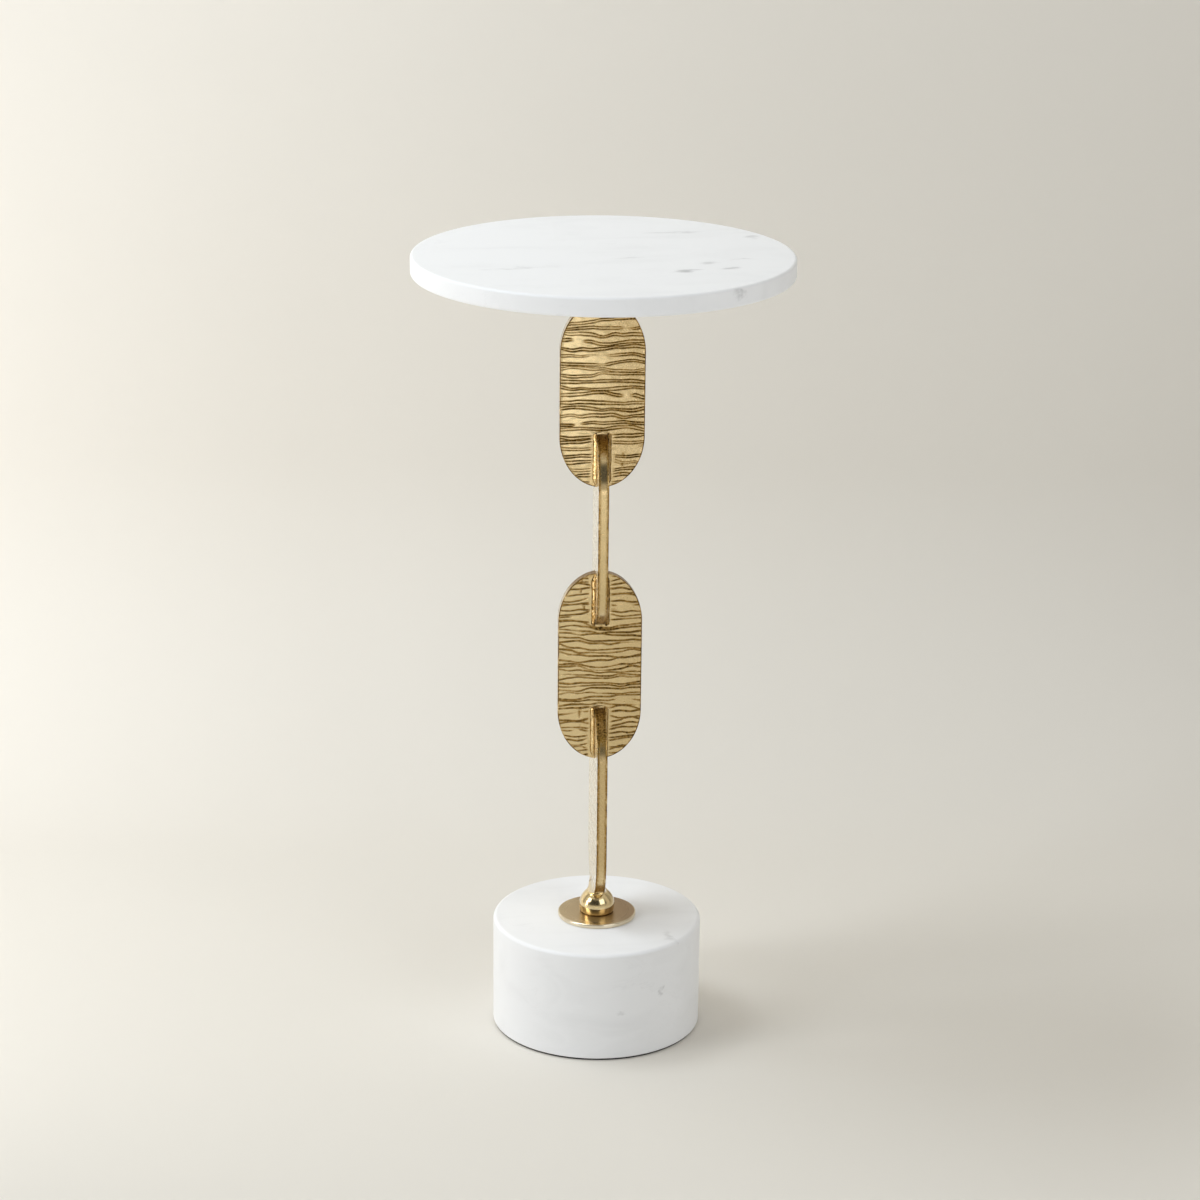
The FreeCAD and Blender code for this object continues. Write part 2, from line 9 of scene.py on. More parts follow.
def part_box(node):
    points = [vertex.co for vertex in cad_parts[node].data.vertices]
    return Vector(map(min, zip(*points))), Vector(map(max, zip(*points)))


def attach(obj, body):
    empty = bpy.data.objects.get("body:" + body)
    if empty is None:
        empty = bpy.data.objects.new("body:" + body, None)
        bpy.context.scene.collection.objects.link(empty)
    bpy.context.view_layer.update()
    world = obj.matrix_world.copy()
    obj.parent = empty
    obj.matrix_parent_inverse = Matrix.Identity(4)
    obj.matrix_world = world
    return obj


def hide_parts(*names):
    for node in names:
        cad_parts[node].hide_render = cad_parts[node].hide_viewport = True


bl_info = {
    "name": "Wine Table",
    "version": (1, 0, 0),
    "blender": (4, 5, 0),
    "location": "View3D > Sidebar > Wine Table",
    "description": "Marble and cast brass looks for a small drinks table",
    "category": "Object",
}

MM = 0.001
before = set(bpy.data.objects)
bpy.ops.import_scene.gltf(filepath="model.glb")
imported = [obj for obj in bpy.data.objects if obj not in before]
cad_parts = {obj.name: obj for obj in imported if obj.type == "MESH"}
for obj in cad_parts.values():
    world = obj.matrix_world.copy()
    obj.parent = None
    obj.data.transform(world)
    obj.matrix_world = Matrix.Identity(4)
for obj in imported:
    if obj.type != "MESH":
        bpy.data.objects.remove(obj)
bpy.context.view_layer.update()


def extent(node):
    """Lowest and highest corner of a CAD node, in millimetres."""
    low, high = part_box(node)
    return np.array(low) / MM, np.array(high) / MM


def linear(code):
    """Linear colour of an sRGB hex code, by the sRGB curve."""
    parts = [int(code[n:n + 2], 16) / 255 for n in (1, 3, 5)]
    return tuple(c / 12.92 if c <= 0.04045 else ((c + 0.055) / 1.055) ** 2.4 for c in parts)


def length(name, description, millimetres):
    """A length that the user may change, given in millimetres."""
    return bpy.props.FloatProperty(
        name=name, description=description, default=millimetres * MM, min=0.0, precision=5, unit="LENGTH")


def angle(name, description, degrees):
    """An angle that the user may change, given in degrees."""
    return bpy.props.FloatProperty(
        name=name, description=description, default=math.radians(degrees), precision=4, subtype="ANGLE")


def colour(name, description, code):
    """A colour that the user may change, given as an sRGB hex code."""
    return bpy.props.FloatVectorProperty(
        name=name, description=description, default=linear(code), min=0.0, max=1.0, size=3, subtype="COLOR")


LINK_LOW, LINK_HIGH = extent("third_link")


class WineTableSizes(bpy.types.PropertyGroup):
    """Lengths of the detail that the solids leave to the looks."""

    link_width: length("Link width", "Across an oval link", LINK_HIGH[0] - LINK_LOW[0])
    link_thickness: length("Link thickness", "Through an oval link", LINK_HIGH[1] - LINK_LOW[1])
    link_rise: length("Link rise", "Height of the half ellipse at a link's end", 35.0)
    link_edge: length("Link edge", "Radius of a link's rounded arris", 0.5)
    lip_leg: length("Lip leg", "Reach of a brazed fillet over the facing link", 2.7)
    lip_wall: length("Lip wall", "Reach of a brazed fillet along the crossing link", 3.8)
    lip_step: length("Lip step", "Thickness of a fillet's toe", 0.2)
    boss_waist: length("Boss waist", "Height of a boss's widest level above its foot", 5.0)
    boss_dome: length("Boss dome", "Radius of a boss's dome", 12.5)
    boss_cut: length("Boss cut", "Drop from the top of a boss's neck to its collar's level cut", 2.4)
    collar_wall: length("Collar wall", "Thickness of a boss's collar round a link's end", 0.4)
    top_rim: length("Top rim", "Radius of the top slab's arrises", 2.0)
    base_upper_rim: length("Base upper rim", "Radius of the base's upper arris", 2.6)
    base_lower_rim: length("Base lower rim", "Radius of the base's lower arris", 1.5)
    base_bore: length("Base bore", "Diameter of the rod's hole in the base", 12.0)
    counterbore: length("Counterbore", "Diameter of the nut's recess in the base", 42.0)
    counterbore_depth: length("Counterbore depth", "Depth of the nut's recess in the base", 20.0)
    nut_recess: length("Nut recess", "Diameter of the stud nut's recess in the top", 17.0)
    nut_recess_depth: length("Nut recess depth", "Depth of the stud nut's recess in the top", 5.6)
    disc_rim: length("Disc rim", "Radius of the brass flange's arrises", 0.8)
    flange_bore: length("Flange bore", "Diameter of the rod's hole in the flange", 10.5)
    pad_rim: length("Pad rim", "Radius of the felt pad's arrises", 0.3)


class WineTableColours(bpy.types.PropertyGroup):
    """Colours of the finishes."""

    marble: colour("Marble", "Ground of the white marble", "#F4F5F8")
    vein: colour("Vein", "Grey of the marble's veins", "#8E8F93")
    brass: colour("Brass", "Polished lands of the antiqued brass", "#E4CC98")
    # Also painted shade: the thin darkening of the links' lands and of the bosses' domes.
    tarnish_and_shade: colour("Tarnish", "Thin patina on the antiqued brass", "#A17C3A")
    # Also painted shade: the dark line round each boss's foot.
    patina: colour("Patina", "Dark patina in the grooves", "#2C1B03")
    # Painted sheen: a pale colour that stands for the grazing reflection on the crossing links' faces, and
    # the painted highlight on the flange's rim.
    bloom: colour("Bloom", "Pale matt bloom on the grained faces of the crossing links", "#F8EED8")
    bronze: colour("Bronze", "Duller brass of the flange", "#C4AD86")
    # Painted shade: the brown that darkens the flange's upper face towards the right and the back.
    painted_shade_brown: colour("Umber", "Brown stain of the flange", "#8F7048")
    zinc: colour("Zinc", "Zinc-plated steel fasteners", "#B9BCC0")
    dull_zinc: colour("Dull zinc", "Cloudy marks in the zinc plating", "#8B9197")
    felt: colour("Felt", "Pressed felt pad", "#191817")
    lint: colour("Lint", "Paler fibres in the felt", "#3F3D3A")
    paper: colour("Paper", "Backdrop paper", "#E5E1DA")


class WineTableStage(bpy.types.PropertyGroup):
    """Where the camera stands and how it looks at the table."""

    lens: length("Lens", "Focal length on a 36 mm sensor", 103.8)
    distance: length("Distance", "Camera to the table's axis, level", 2228.0)
    height: length("Height", "Camera above the floor", 1031.8)
    azimuth: angle("Azimuth", "Camera's turn round the table", -5.5)
    pitch: angle("Pitch", "Camera's tilt down", 17.985)
    roll: angle("Roll", "Camera's turn about its own line of sight", 0.6)


def fade(t):
    """The smooth step 3 t^2 - 2 t^3, with t held between 0 and 1."""
    t = np.clip(t, 0.0, 1.0)
    return t * t * (3.0 - 2.0 * t)


def ramp(start, stop, value):
    """Smooth step from 0 at start to 1 at stop."""
    return fade((value - start) / (stop - start))


NOISE_GRID = (97, 89)


def noise(seed, u, v):
    """Smooth noise from -1 to 1: seeded heights at whole u and v, blended by the smooth step."""
    heights = np.random.default_rng(seed).uniform(-1.0, 1.0, NOISE_GRID)
    i, j = np.floor(u).astype(int), np.floor(v).astype(int)
    a, b = fade(u - i), fade(v - j)

    def corner(across, up):
        """Heights at one corner of the square that each point lies in."""
        return heights[(i + across) % NOISE_GRID[0], (j + up) % NOISE_GRID[1]]

    return ((1 - a) * (1 - b) * corner(0, 0) + a * (1 - b) * corner(1, 0)
            + (1 - a) * b * corner(0, 1) + a * b * corner(1, 1))


def skin(rings, endless=False):
    """Points and faces of a skin through closed sections, in millimetres.

    rings[i, j] is point j of section i. Four-sided faces join each section to the next. Unless
    the sections run round endlessly, each end is drawn together in a pole at its section's mean.
    """
    count, around = rings.shape[:2]
    index = np.arange(count * around).reshape(count, around)
    here = index if endless else index[:-1]
    there = np.roll(index, -1, axis=0) if endless else index[1:]
    quads = np.stack([here, np.roll(here, -1, 1), np.roll(there, -1, 1), there], axis=-1).reshape(-1, 4)
    points = rings.reshape(-1, 3)
    faces = quads.tolist()
    if not endless:
        points = np.concatenate([points, rings[[0, -1]].mean(axis=1)])
        first, last = index[0], index[-1]
        low, high = np.full(around, count * around), np.full(around, count * around + 1)
        faces += np.stack([np.roll(first, -1), first, low], axis=-1).tolist()
        faces += np.stack([last, np.roll(last, -1), high], axis=-1).tolist()
    a, b, c, d = (points[quads[:, n]] for n in range(4))
    volume = (np.cross(a, b) * c).sum() + (np.cross(a, c) * d).sum()
    if volume < 0:
        faces = [face[::-1] for face in faces]
    return points, faces


def piece(name, skins, material, slot, *nodes, **attributes):
    """A finished piece of one or more skins that rides on the table and stands for CAD nodes."""
    points = np.concatenate([part[0] for part in skins])
    starts = np.cumsum([0] + [len(part[0]) for part in skins])
    faces = [[corner + start for corner in face] for part, start in zip(skins, starts) for face in part[1]]
    mesh = bpy.data.meshes.new(name)
    mesh.from_pydata((points * MM).tolist(), [], faces)
    mesh.polygons.foreach_set("use_smooth", np.ones(len(faces), dtype=bool))
    for key, values in attributes.items():
        layer = mesh.attributes.new(key, "FLOAT", "POINT")
        layer.data.foreach_set("value", values.astype(np.float32))
    mesh.materials.append(material)
    mesh.update()
    made = bpy.data.objects.new(name, mesh)
    bpy.context.scene.collection.objects.link(made)
    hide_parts(*nodes)
    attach(made, "root")
    return made


def rounded(corners, closed, steps=10, support=0.25):
    """Outline through corners (radius, height, rounding), each made an arc that touches both sides.

    A point close to each end of an arc keeps the flat stretch beside it flat when shaded smooth.
    """
    points = np.array([corner[:2] for corner in corners], dtype=float)
    outline = []
    for n, (_, _, radius) in enumerate(corners):
        here = points[n]
        if radius == 0 or (not closed and n in (0, len(corners) - 1)):
            outline.append(here[None])
            continue
        before, after = points[n - 1] - here, points[(n + 1) % len(corners)] - here
        before, after = before / np.linalg.norm(before), after / np.linalg.norm(after)
        half = np.arccos(np.clip(before @ after, -1.0, 1.0)) / 2
        trim = radius / np.tan(half)
        bisector = (before + after) / np.linalg.norm(before + after)
        centre = here + bisector * radius / np.sin(half)
        start, stop = here + before * trim - centre, here + after * trim - centre
        turn = np.pi - 2 * half
        share = np.linspace(0.0, 1.0, steps + 1)[:, None]
        arc = (np.sin((1 - share) * turn) * start + np.sin(share * turn) * stop) / np.sin(turn)
        leave, join = here + before * (trim + support), here + after * (trim + support)
        outline += [leave[None], centre + arc, join[None]]
    return np.concatenate(outline)


def turned(outline, segments=256):
    """Sections of a turned form: each point (radius, height) of the outline becomes a level circle."""
    turn = np.linspace(0.0, 2 * np.pi, segments, endpoint=False)
    radius, height = outline[:, :1], outline[:, 1:]
    return np.stack([radius * np.cos(turn), radius * np.sin(turn), height + 0 * turn], axis=-1)


class Cast(NamedTuple):
    """Finish of a link's casting, with the light painted on it: lengths of its grooves in mm, and shares
    from 0 to 1.
    """

    spacing: float  # from groove to groove
    width: float  # between a groove's two dark walls
    depth: float  # of its walls
    wander: float  # how far each groove strays by itself
    bend: float  # how far neighbouring grooves stray together
    patina: float  # patina on the faces, and painted shade on their lands
    edge_patina: float  # patina on the narrow edges, and the reach of painted brown reflection over the upper tips
    bloom: float  # painted pale sheen on the faces, standing for their grazing reflection


class Oval(NamedTuple):
    """Grid over a link's face in mm: level rows from tip to tip, and columns from edge to edge."""

    x: np.ndarray
    z: np.ndarray
    inward: np.ndarray  # distance of each point to the outline
    reach: np.ndarray  # half width of each row
    normal: np.ndarray  # outward direction at each row's right end, across and up


def oval_grid(tall, sizes, rows=640, columns=66):
    """Grid over a link's face about the link's middle, closer together near the outline.

    The outline's half width is that of straight sides with a half ellipse at each end. A point's
    distance to the half ellipse is the ellipse's equation there, divided by its slope.
    """
    half_width, rise = sizes.link_width / MM / 2, sizes.link_rise / MM
    spread = np.linspace(-1.0, 1.0, rows + 2)[1:-1]
    up = tall / 2 * (0.4 * spread + 0.6 * np.sin(np.pi / 2 * spread))
    beyond = np.maximum(np.abs(up) - (tall / 2 - rise), 0.0)
    reach = half_width * np.sqrt(1.0 - (beyond / rise) ** 2)
    share = np.linspace(-1.0, 1.0, columns)
    share = 0.25 * share + 0.75 * np.sin(np.pi / 2 * share)
    x = reach[:, None] * share
    z = np.broadcast_to(up[:, None], x.shape)
    over = np.broadcast_to(beyond[:, None], x.shape)
    slope = 2 * np.sqrt((x / half_width ** 2) ** 2 + (over / rise ** 2) ** 2)
    in_ellipse = (1.0 - (x / half_width) ** 2 - (over / rise) ** 2) / np.maximum(slope, 1e-6)
    inward = np.clip(np.where(over > 0, in_ellipse, half_width - np.abs(x)), 0.0, half_width)
    normal = np.stack([reach / half_width ** 2, np.sign(up) * beyond / rise ** 2])
    return Oval(x, z, inward, reach, normal / np.linalg.norm(normal, axis=0))


def bark(seed, across, up, tall, cast):
    """Bark-like grooves of a cast face: how deep and how dark each point is.

    Each groove is a level line that wanders up and down by one noise shared with its neighbours and
    two of its own, and fades out in places. Its walls are two dark lines, half the width off its
    middle, and the floor between them swells up in beads here and there. Where grooves meet, the
    deeper and the darker one counts.
    """
    deep, dark = np.zeros_like(across), np.zeros_like(across)
    most = math.ceil(tall / 2 / cast.spacing)
    up = up + cast.bend * noise(seed + 7, across / 30.0 + 2.0, up / 24.0)
    for row in range(-most, most + 1):
        drift = noise(seed, across / 17.0 + 5.0, 3.37 * row)
        drift = drift + 0.45 * noise(seed + 1, across / 7.0 + 9.0, 5.71 * row)
        off = np.abs(up - row * cast.spacing - cast.wander * drift)
        there = ramp(-0.85, -0.55, noise(seed + 2, across / 16.0 + 3.0, 7.13 * row))
        half = cast.width / 2 * (0.35 + 0.65 * there)
        half = half * (1.0 + 0.35 * noise(seed + 3, across / 10.0, 2.9 * row))
        inside = (1.0 - ramp(half - 0.3, half + 0.2, off)) * there
        bead = noise(seed + 4, across / 1.7, 4.1 * row)
        swell = np.exp(-(off / (0.5 * half)) ** 2) * (0.65 + 0.35 * bead)
        swell = swell * ramp(-0.8, 0.4, noise(seed + 5, across / 12.0, 1.7 * row))
        strong = 1.1 + 0.35 * noise(seed + 6, across / 21.0 + 7.0, 6.31 * row)
        walls = np.exp(-((off - half) / (0.29 * strong)) ** 2) * there * strong * (0.9 + 0.4 * bead)
        dark = np.maximum(dark, np.clip(walls + 0.08 * inside * (1.0 - swell), 0.0, 1.0))
        deep = np.maximum(deep, cast.depth * np.maximum(0.8 * walls, 0.25 * inside * (1.0 - swell)))
    return deep, dark


def link_face(seed, side, oval, tall, edge, cast, lower_tip, upper_tip):
    """Front (0) or back (1) face of a link: how far each point lies in, and its dark share.

    The arris is a quarter round on the distance to the outline, ragged and chipped. The grooves are
    calm beside the neighbouring links, whose tips are given. An upright scar runs on one side
    there, and rough braze metal lies by each tip. The land between the grooves is a little
    hammered. Patina stays in the grooves and along the outline, and less of it lies on the lands.
    Painted shade darkens the lands towards the right, as if lit from the left, with a little random
    tone. A face with painted sheen also has brown specks.
    """
    x, z, inward = oval.x, oval.z, oval.inward
    spot = seed + 20 * side
    rough_cast = min(1.0, cast.depth / 0.3)
    near = np.maximum(ramp(lower_tip + 3.0, lower_tip - 2.0, z), ramp(upper_tip - 3.0, upper_tip + 2.0, z))

    chip = 0.8 * cast.bloom * ramp(0.3, 0.8, noise(spot + 15, np.sign(x) * 31.5, z / 3.5))
    ragged = edge * (0.75 + 0.3 * noise(spot + 11, np.sign(x) * 50.5, z / 2.3)) + chip
    arris = ragged - np.sqrt(ragged ** 2 - (ragged - np.minimum(inward, ragged)) ** 2)

    deep, dark = bark(spot, x, z, tall, cast)
    sway = 1.2 * noise(spot + 6, x / 6.0, z / 7.0)
    calm = 1.0 - near * (1.0 - ramp(6.5, 9.0, np.abs(x) + sway))
    live = ramp(0.1, 1.0, inward) * calm
    scarred_side = 1 if seed % 2 else -1
    scar = near * np.exp(-((scarred_side * x - 12.7 + 1.8 * sway) / 0.6) ** 2)
    scar = rough_cast * scar * ramp(0.0, 0.6, noise(spot + 7, x / 12.0, z / 3.0))
    hammered = 0.06 * noise(spot + 8, x / 9.0, z / 6.0) + 0.04 * noise(spot + 9, x / 2.5, z / 1.5)
    past_lower, past_upper = z - lower_tip - 2.0, z - upper_tip + 2.0
    braze = np.exp(-(x / 6.0) ** 2) * (np.exp(-(past_lower / 3.0) ** 2) + np.exp(-(past_upper / 3.0) ** 2))
    grain = braze * noise(spot + 10, x / 1.3, z / 0.9)
    uneven = 0.1 + rough_cast * hammered + 0.3 * grain
    inset = arris + live * deep + 0.45 * scar + ramp(0.0, 2.0, inward) * uneven

    rim = np.exp(-((inward - 0.25) / 0.33) ** 2)
    rim = rim * ramp(-1.2, 0.2, noise(spot + 12, np.sign(x) * 7.5, z / 5.0))
    # Painted shade: the lands darken towards the right, as if lit from the left, with a little random tone.
    rightward = x * (1 - 2 * side)
    right_shade_and_tone = 0.16 * ramp(-25.0, 25.0, rightward) + 0.04 * noise(spot + 13, x / 16.0, z / 12.0)
    stain_and_shade = live * dark + 0.8 * scar + 0.5 * braze * ramp(0.0, 0.5, grain) + right_shade_and_tone
    speck = 0.35 * cast.bloom * ramp(0.2, 0.75, noise(spot + 14, x / 5.0, z / 0.8))
    return inset, np.clip(cast.patina * stain_and_shade + rim + speck, 0.0, 1.0)


def link_edge(seed, side, oval, tall, flat, cast, walls=6):
    """Right (1) or left (-1) edge of a link: its points and their dark share.

    Lines along the flat of the edge follow the outline. They are a little wavy, with a few casting
    pits. Patina lies in the pits and beside both arrises, and thinly all over. Painted brown
    reflection lies over the tips, and reaches further at the upper one.
    """
    up = oval.z[:, :1]
    level = np.linspace(-flat, flat, walls + 2)[1:-1]
    wave = 0.05 * noise(seed + 11 + side, up / 9.0 + 40, level / 4.0 + 0.5)
    pit = ramp(0.96, 0.99, noise(seed + 14 + side, up / 1.6 + 60, level / 1.4))
    out = wave - 0.2 * pit - 0.05
    across, lift = oval.normal[..., None]
    points = np.stack([side * (oval.reach[:, None] + across * out), np.broadcast_to(level, out.shape),
                       up + lift * out], axis=-1)
    # Painted reflection: brown over each tip, for what the tip's curve reflects; it reaches further at the
    # upper tip.
    brown = np.where(up > 0, 8.0 + 660.0 * cast.edge_patina ** 2, 9.0)
    tip = 0.5 * ramp(brown, 0.45 * brown, tall / 2 - np.abs(up))
    border = 0.3 * ramp(0.4, 0.9, np.abs(level) / flat)
    return points, np.clip(0.6 * pit + tip + border + cast.edge_patina, 0.0, 1.0)


def link_skin(seed, tall, sizes, cast, lower_tip, upper_tip):
    """Sections of an oval link about its own middle, and the dark and polished share of each point.

    Each level section goes over the front face, the right edge, the back face and the left edge.
    The faces lie half the thickness off the middle plane, less how far link_face sets them in.
    """
    half, edge = sizes.link_thickness / MM / 2, sizes.link_edge / MM
    oval = oval_grid(tall, sizes)
    (front_in, front_dark), (back_in, back_dark) = (
        link_face(seed, side, oval, tall, edge, cast, lower_tip, upper_tip) for side in (0, 1))
    (right, right_dark), (left, left_dark) = (
        link_edge(seed, side, oval, tall, half - edge, cast) for side in (1, -1))
    front = np.stack([oval.x, front_in - half, oval.z], axis=-1)
    back = np.stack([oval.x, half - back_in, oval.z], axis=-1)
    rings = np.concatenate([front, right, back[:, ::-1], left[:, ::-1]], axis=1)
    dark = np.concatenate([front_dark, right_dark, back_dark[:, ::-1], left_dark[:, ::-1]], axis=1)
    rim_wear_and_highlight, bright = ramp(1.0, 0.2, oval.inward), np.ones_like(right_dark)
    polish = np.concatenate([rim_wear_and_highlight, bright, rim_wear_and_highlight[:, ::-1], bright], axis=1)
    poles = (0.0, 0.0)
    return rings, np.append(dark, poles), np.append(polish, poles)


def lip_skin(seed, sizes, reach, rough, rows=120):
    """Sections of one brazed fillet in the upright corner of two crossed links, and its dark share.

    The corner runs from the upper link's tip to the lower link's tip, a reach below and above the
    middle. The section is a hollow bevel, between a straight one and a quarter round, with a leg
    over the facing link, a wall along the crossing link and thin toes, sunk into the metal behind
    it. It tapers off at its foot, and near its upper end the ridge leans away from the link into a
    rounded horn. Patina stays along the toes, and a rough lip is speckled with it.
    """
    half, leg = sizes.link_thickness / MM / 2, sizes.lip_leg / MM
    wall, step = sizes.lip_wall / MM, sizes.lip_step / MM
    rise = np.linspace(0.5 - reach, reach + 0.8, rows)
    end = np.clip((rise - reach + 1.0) / 1.8, 0.0, 0.99)
    size = (1.0 + 0.08 * noise(seed, rise / 5.0, 0.0)) * np.sqrt(1.0 - end ** 2)
    size = size * (0.3 + 0.7 * ramp(0.5 - reach, 6.0 - reach, rise))
    lean = 0.9 * ramp(reach - 8.0, reach, rise)
    turn = np.linspace(0.0, np.pi / 2, 15)
    straight = turn / (np.pi / 2)
    out = np.concatenate([0.4 * straight + 0.6 * (1.0 - np.cos(turn)), [1.02, -0.12, -0.12]])
    up = np.concatenate([0.4 * (1.0 - straight) + 0.6 * (1.0 - np.sin(turn)), [-0.12, -0.12, 1.02]])
    toe = step * np.concatenate([np.sin(turn), np.zeros(3)])
    across = half + leg * size[:, None] * out + lean[:, None] * np.maximum(up, 0.0)
    off = half + wall * size[:, None] * up + toe
    rings = np.stack([across, -off, np.broadcast_to(rise[:, None], off.shape)], axis=-1)
    toes = np.exp(-((straight - 1.0) / 0.2) ** 2) + np.exp(-(straight / 0.15) ** 2)
    toes, around = np.concatenate([toes, np.ones(3)]), np.concatenate([straight, np.zeros(3)])
    dark = toes * (0.6 + 0.3 * noise(seed + 1, rise[:, None] / 3.0, 1.0))
    dark = dark + rough * (0.5 + 0.5 * noise(seed + 2, rise[:, None] / 1.2, 3.0 * around))
    return rings, np.append(np.clip(dark, 0.0, 1.0), (0.0, 0.0))


def boss_skin(sizes, low, high, radius, tip):
    """Sections of a boss from its foot to its neck, about a link that stands in it along Y.

    Level superellipses. Across the link they follow a ball-like dome, whose arc starts below its
    waist, where it falls in less, and a hollow neck that runs out on the link's faces. Above the
    waist both arcs turn through one angle, so they meet smoothly. Along the link the dome is as
    deep as it is wide. It rises as a collar just outside the link's elliptical end, whose tip is
    given, squarer and squarer, and is cut level. Above the cut is a rounded tongue on each face,
    half an ellipse as wide as the link's end there, which ends at the neck's top.
    """
    waist, dome = sizes.boss_waist / MM, sizes.boss_dome / MM
    rise, half_width = sizes.link_rise / MM, sizes.link_width / MM / 2
    film = 0.05  # thickness of the neck's top on the link's faces
    tuck = 0.3  # how far a tongue's sides lie inside the link's outline
    below_waist = 0.8  # share of the ball's curve that the dome keeps below its waist
    neck = sizes.link_thickness / MM / 2 + film
    tall = high - low - waist
    sweep = 2 * np.arctan((radius - neck) / tall)
    hollow = tall / np.sin(sweep) - dome
    turn = np.linspace(-np.arcsin(waist / dome), sweep, 48)
    fall_in = np.where(turn < 0, below_waist, 1.0) * dome * (1.0 - np.cos(turn))
    crown = np.stack([radius - fall_in, low + waist + dome * np.sin(turn)], axis=-1)
    fall = np.linspace(sweep, 0.0, 40)
    throat = np.stack([neck + hollow - hollow * np.cos(fall), high - hollow * np.sin(fall)], axis=-1)
    foot = [[0.3 * radius, low], [crown[0, 0] - 0.2, low]]
    wide, level = np.concatenate([foot, crown, throat[1:]]).T
    cut = high - sizes.boss_cut / MM
    curve = 1.0 - np.clip((np.minimum(level, cut) - tip) / rise, 0.0, 1.0)
    link_end = half_width * np.sqrt(1.0 - curve ** 2)
    share = np.clip((level - cut) / (high - cut), 0.0, 0.99)
    tongue = (link_end - tuck) * np.sqrt(1.0 - share ** 2)
    deep = np.where(level > cut, tongue, np.maximum(wide, link_end + sizes.collar_wall / MM))
    power = 2.0 / (2.0 + 5.0 * ramp(high - 7.5, high - 3.0, level))[:, None]
    turn = np.linspace(0.0, 2 * np.pi, 192, endpoint=False)
    x, y = (np.sign(way) * np.abs(way) ** power for way in (np.cos(turn), np.sin(turn)))
    return np.stack([wide[:, None] * x, deep[:, None] * y, level[:, None] + 0 * turn], axis=-1)


def painted_boss_shade(points, foot):
    """Painted shade of a boss: dark streaks down its dome, painted reflections of dark surroundings, and a
    painted shadow line round the foot it stands on.
    """
    around = np.arctan2(points[:, 1], points[:, 0])
    streak = noise(61, 6.0 * np.cos(around) + 20, 6.0 * np.sin(around) + 20)
    up = np.abs(points[:, 2] - foot)
    return 0.5 * ramp(0.1, 0.7, streak) * ramp(7.0, 13.0, up) + 0.9 * ramp(0.9, 0.2, up)


def add_node(tree, kind, links=(), **settings):
    """One shader node with its settings; links gives each input's value, or the output that feeds it."""
    made = tree.nodes.new(kind)
    for key, value in settings.items():
        setattr(made, key, value)
    for key, value in dict(links).items():
        if isinstance(value, bpy.types.NodeSocket):
            tree.links.new(value, made.inputs[key])
        else:
            made.inputs[key].default_value = value
    return made


def new_material(name):
    """An empty material: its tree and its output node."""
    material = bpy.data.materials.new(name)
    material.use_nodes = True
    tree = material.node_tree
    tree.nodes.clear()
    return material, tree, add_node(tree, "ShaderNodeOutputMaterial")


def opaque(rgb):
    """A colour with full alpha, for a socket."""
    return (*rgb, 1.0)


FLECKS = (
    # middle and half sizes in mm, turn about Z in degrees, strength
    ((48, -53, 547), (13, 5, 6), 15, 0.60), ((80, -47, 547), (11, 4, 6), 20, 0.45),
    ((89, -20, 547), (10, 4, 6), 10, 0.42), ((67, -30, 547), (9, 4, 6), 0, 0.35),
    ((56, 66, 547), (26, 6, 6), 5, 0.35), ((106, 49, 547), (9, 5, 6), 30, 0.35),
    ((-60, -40, 547), (36, 4, 6), 9, 0.22), ((13, -12, 547), (18, 4, 6), 12, 0.22),
    ((78, -100, 543), (7, 6, 5), 0, 0.35), ((46, -42, 79), (4, 16, 6), 12, 0.28),
    ((39, -60, 46), (3, 5, 5), 0, 0.28), ((11, -71, 33), (6, 6, 1.6), 0, 0.20),
)


def fleck(tree, place, middle, half, turn, strength):
    """A soft grey fleck: strength at its middle, fading to nothing on its ellipsoid."""
    local = add_node(tree, "ShaderNodeMapping", {
        "Vector": place, "Location": Vector(middle) * MM, "Rotation": (0.0, 0.0, math.radians(turn)),
        "Scale": Vector(half) * MM}, vector_type="TEXTURE")
    away = add_node(tree, "ShaderNodeVectorMath", {0: local.outputs[0]}, operation="LENGTH")
    return add_node(tree, "ShaderNodeMapRange", {
        "Value": away.outputs["Value"], "From Min": 0.1, "From Max": 1.0,
        "To Min": strength, "To Max": 0.0}, interpolation_type="SMOOTHSTEP").outputs["Result"]


